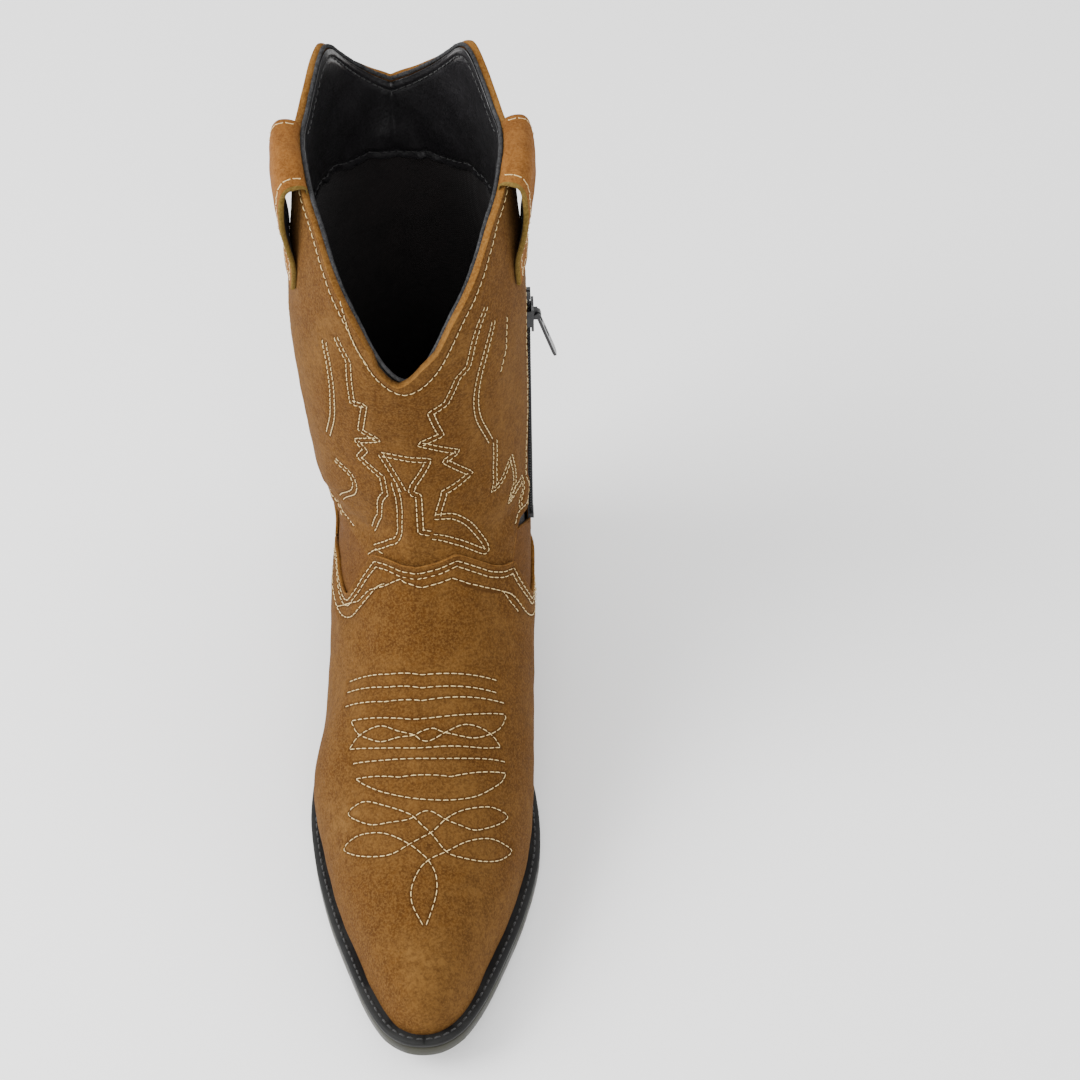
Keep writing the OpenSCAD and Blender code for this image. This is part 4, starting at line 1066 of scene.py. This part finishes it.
def heel_point(t, side, z, out):
    p = sole_point(t, side, out, -SOLE_THICK - 0.1)
    q = np.clip((p[:, 2] - z) / 40, 0, 1.2)
    y = HEEL_FRONT + (p[:, 1] - HEEL_FRONT) * (1 - 0.14 * q) + 3 * q * (1 - p[:, 1] / 140)
    x = MIDDLE_X + (p[:, 0] - MIDDLE_X) * (1 - 0.13 * q)
    return np.column_stack([x, y, np.broadcast_to(z, len(p))])


def stations(low, high, count):
    """Places along the sole's edge, closer together toward the toe tip and the heel."""
    u = np.linspace(0, 1, count)
    u = u - 0.42 * np.sin(2 * math.pi * u) / math.pi
    return low + (high - low) * np.clip(u, 0, 1)


def sole_piece(name, node, ts, profile, point, materials):
    """A flat piece from rounded side profiles. profile lists (moved out, height, material)."""
    left = [point(ts, -1, d, z) for d, z, _ in profile]
    right = [point(ts, 1, d, z) for d, z, _ in profile]
    ring = np.stack(left[::-1] + right, axis=1)
    rows, cols = ring.shape[:2]
    pts = ring.reshape(-1, 3)
    marks = [m for _, _, m in profile]
    marks = marks[::-1][1:] + [marks[0]] + marks[:-1]
    faces, slots = [], []
    for r in range(rows - 1):
        for c in range(cols):
            a, b = r * cols + c, r * cols + (c + 1) % cols
            faces.append([a, b, b + cols, a + cols])
            slots.append(marks[c] if c < cols - 1 else len(materials) - 1)
    faces += [list(range(cols))[::-1], [(rows - 1) * cols + c for c in range(cols)]]
    slots += [0, 0]
    piece = new_mesh(name, pts, faces, slots, materials, "boot")
    weld(piece)
    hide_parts(node)


def weld(ob):
    """Join the points of the two sides where they meet at the toe and the heel."""
    bm = bmesh.new()
    bm.from_mesh(ob.data)
    bmesh.ops.remove_doubles(bm, verts=bm.verts, dist=0.02 * MM)
    bm.to_mesh(ob.data)
    bm.free()


def rounded_side(high, low, r):
    """(out, height, material) down the side of a sole layer with rounded corners."""
    return [(-4 * r, high, 0), (-1.1 * r, high, 0), (-0.35 * r, high - 0.3 * r, 0), (0, high - r, 0),
            (0, low + r, 0), (-0.35 * r, low + 0.3 * r, 0), (-1.1 * r, low, 1), (-4 * r, low, 1)]


# round the welt's cut: share of the way out, and height
WELT_CUT = [(0.0, 0), (0.35, 0), (0.75, 0), (0.93, -0.1), (1.0, -0.7), (1.0, -2.4), (0.94, -WELT_THICK),
            (0.5, -WELT_THICK), (0.0, -WELT_THICK)]


def strip_ring(ts, name, node):
    """A welt along one side, round the end at ts[0] and back on the other side; its edge is wheeled."""
    pts, faces = [], []
    for s, order in ((-1, range(len(ts) - 1, -1, -1)), (1, range(len(ts)))):
        inner, outer = sole_point(ts, s, -6, 0), welt_point(ts, s, 0, 0)
        for i in order:
            wheel = 0.06 * math.sin(i * 1.9)
            for f, dz in WELT_CUT:
                p = inner[i] + (outer[i] - inner[i]) * f
                z = sole_height(p[1]) + dz + (wheel if f > 0.7 and dz > -0.5 else 0)
                pts.append((p[0], p[1], z))
    count, sides = 2 * len(ts), len(WELT_CUT)
    for i in range(count - 1):
        for j in range(sides):
            a, b = i * sides + j, i * sides + (j + 1) % sides
            faces.append([a, a + sides, b + sides, b])
    faces += [list(range(sides)), [(count - 1) * sides + j for j in range(sides)][::-1]]
    weld(one_material(name, (pts, faces), WELT, node))


def make_sole():
    ts = stations(0.0, 15.0, 300)
    profile = rounded_side(-WELT_THICK - 0.1, -SOLE_THICK, 0.6)
    sole_piece("outsole_slab", "outsole", ts, profile, welt_point, [SOLE_EDGE, TREAD])
    strip_ring(BREAST_T * np.linspace(0, 1, 330) ** 2, "welt_strip", "welt")
    ts = stations(BREAST_T + 0.03, 15.0, 120)
    strip_ring(ts[::-1], "heel_rand_strip", "heel_rand")

    made = ([], [])
    for s in (-1, 1):
        t = BREAST_T * np.linspace(0.05, 0.995, 600) ** 2
        p = welt_point(t, s, -2.3, 0.05)
        up = np.zeros_like(p)
        up[:, 2] = 1
        gather(*made, stitch_row(p, up, 3.4, 2.5, 0.75))
    one_material("welt_stitches", made, DARK_THREAD)


def make_heel():
    ts = stations(BREAST_T, 15.0, 130)
    wedge_low = TOP_PIECE_HIGH + 3 * (LIFT + 0.1)

    def wedge_point(t, s, d, z):
        # z is 1 at the sole and 0 at the wedge's flat bottom
        top = sole_point(t, s, HEEL_OUT + d, -SOLE_THICK - 0.1)
        low = heel_point(t, s, wedge_low, HEEL_OUT + d)
        return low + (top - low) * z

    def lift_point(t, s, d, z):
        return heel_point(t, s, z, HEEL_OUT + d)

    def top_piece_point(t, s, d, z):
        return heel_point(t, s, z, TOP_PIECE_OUT + d)

    profile = [(-3, 1, 0), (-0.4, 1, 0), (0, 0.96, 0), (0, 0.66, 0), (0, 0.33, 0), (0, 0.05, 0),
               (-0.35, 0, 0), (-3, 0, 0)]
    sole_piece("heel_wedge_layer", "heel_wedge", ts, profile, wedge_point, [HEEL])
    for level, node in enumerate(("heel_lift_low", "heel_lift_mid", "heel_lift_top")):
        low = TOP_PIECE_HIGH + 0.1 + level * (LIFT + 0.1)
        high = low + LIFT - 0.1
        profile = [(-3, high, 0), (-0.45, high, 0), (0, high - 0.3, 0), (0.03, (low + high) / 2, 0),
                   (0, low + 0.3, 0), (-0.45, low, 0), (-3, low, 0)]
        sole_piece(node + "_layer", node, ts, profile, lift_point, [HEEL])
    profile = [(-3, 6, 0), (-0.4, 6, 0), (0, 5.6, 0), (0, 4.2, 0), (-0.3, 4.05, 0), (-0.3, 3.85, 0),
               (0, 3.7, 0), (0, 0.6, 0), (-0.6, 0, 0), (-4, 0, 0)]
    sole_piece("top_piece_layer", "heel_top_piece", ts, profile, top_piece_point, [TOP_PIECE])


# ---------------------------------------------------------------- zip
ZIP_FOOT = np.array([45.6 + MIDDLE_X, 62, 92])
ZIP_UP = unit(np.array([-0.5, 20.5, 100]))
ZIP_OUT = unit(np.array([1.0, 0, 0]) - ZIP_UP * ZIP_UP[0])
ZIP_BACK = np.cross(ZIP_UP, ZIP_OUT)
ZIP_LENGTH = 102


def zip_points(p):
    """Points from the zip's own frame (outward, toward the back, up) into the boot's."""
    p = np.asarray(p, float)
    return ZIP_FOOT + p[..., 0:1] * ZIP_OUT + p[..., 1:2] * ZIP_BACK + p[..., 2:3] * ZIP_UP


COIL_PITCH = 1.3


def make_zip():
    for s, word in ((-1, "front"), (1, "rear")):
        turns = int(ZIP_LENGTH / COIL_PITCH) - 1
        w = np.linspace(0, turns * 2 * math.pi, turns * 14)
        lead = 0 if s > 0 else 0.65
        along = 0.6 + lead + w / (2 * math.pi) * COIL_PITCH
        coil = np.stack([0.1 + 0.5 * np.sin(w), s * (1.62 + 1.02 * np.cos(w)), along], axis=-1)
        made = tube(zip_points(coil), 0.34, 6)
        one_material("zip_coil_" + word, made, TEETH, "zip_teeth_" + word)
        # woven tape with ribs
        y = np.linspace(0.35, 5, 40)
        u = np.linspace(-2.5, ZIP_LENGTH + 6, 220)
        yy, uu = np.meshgrid(y, u)
        rows, cols = yy.shape
        rib = 0.05 * np.sin(yy * 9) + 0.03 * np.sin(uu * 7)
        top = zip_points(np.stack([-0.86 + rib, s * yy, uu], axis=-1)).reshape(-1, 3)
        low = zip_points(np.stack([-1.24 - rib, s * yy, uu], axis=-1)).reshape(-1, 3)
        points, faces, _ = sheet(top, low, [], rows, cols)
        if s < 0:
            faces = faces[:, ::-1]
        one_material("zip_ribbon_" + word, (points, faces), TAPE, "zip_tape_" + word)


# ---------------------------------------------------------------- build, stage, light
make_vamp()
make_counter()
make_shaft_front()
make_shaft_back()
make_inside()
make_strap(-1, "strap_outer", "pull_strap_outer")
make_strap(1, "strap_inner", "pull_strap_inner")
make_sole()
make_heel()
make_zip()

scene = bpy.context.scene
floor_material = Graph("pale_floor")
floor_material.set(Base_Color=(0.98, 0.98, 0.98), Roughness=0.6)
bpy.ops.mesh.primitive_plane_add(size=8)
floor = bpy.context.object
floor.name = "floor"
floor.data.materials.append(floor_material.mat)

world = bpy.data.worlds.new("soft_room")
scene.world = world
world.use_nodes = True
world.node_tree.nodes["Background"].inputs[0].default_value = (1, 1, 1, 1)
world.node_tree.nodes["Background"].inputs[1].default_value = 1.35


def softbox(name, where, aim, size, watts):
    data = bpy.data.lights.new(name, "AREA")
    data.shape = "RECTANGLE"
    data.size, data.size_y = size
    data.energy = watts
    ob = bpy.data.objects.new(name, data)
    ob.location = where
    ob.rotation_euler = (Vector(aim) - Vector(where)).to_track_quat("-Z", "Y").to_euler()
    scene.collection.objects.link(ob)


softbox("left_box", (-1.1, -0.2, 1.0), (0, 0, 0.12), (0.9, 0.9), 32)
softbox("right_box", (1.1, 0.1, 1.0), (0, 0, 0.12), (0.8, 0.8), 3)
softbox("front_box", (0.1, -1.3, 1.3), (0, 0, 0.1), (1.0, 0.6), 12)

PITCH = math.radians(49.4)
YAW = math.radians(1.6)
camera_data = bpy.data.cameras.new("camera")
camera_data.lens = 83.25
camera_data.sensor_width = 36
camera = bpy.data.objects.new("camera", camera_data)
camera.location = (0.0265, -0.6097, 0.8564)
forward = Vector((math.sin(YAW) * math.cos(PITCH), math.cos(YAW) * math.cos(PITCH), -math.sin(PITCH)))
camera.rotation_euler = forward.to_track_quat("-Z", "Y").to_euler()
scene.collection.objects.link(camera)
scene.camera = camera
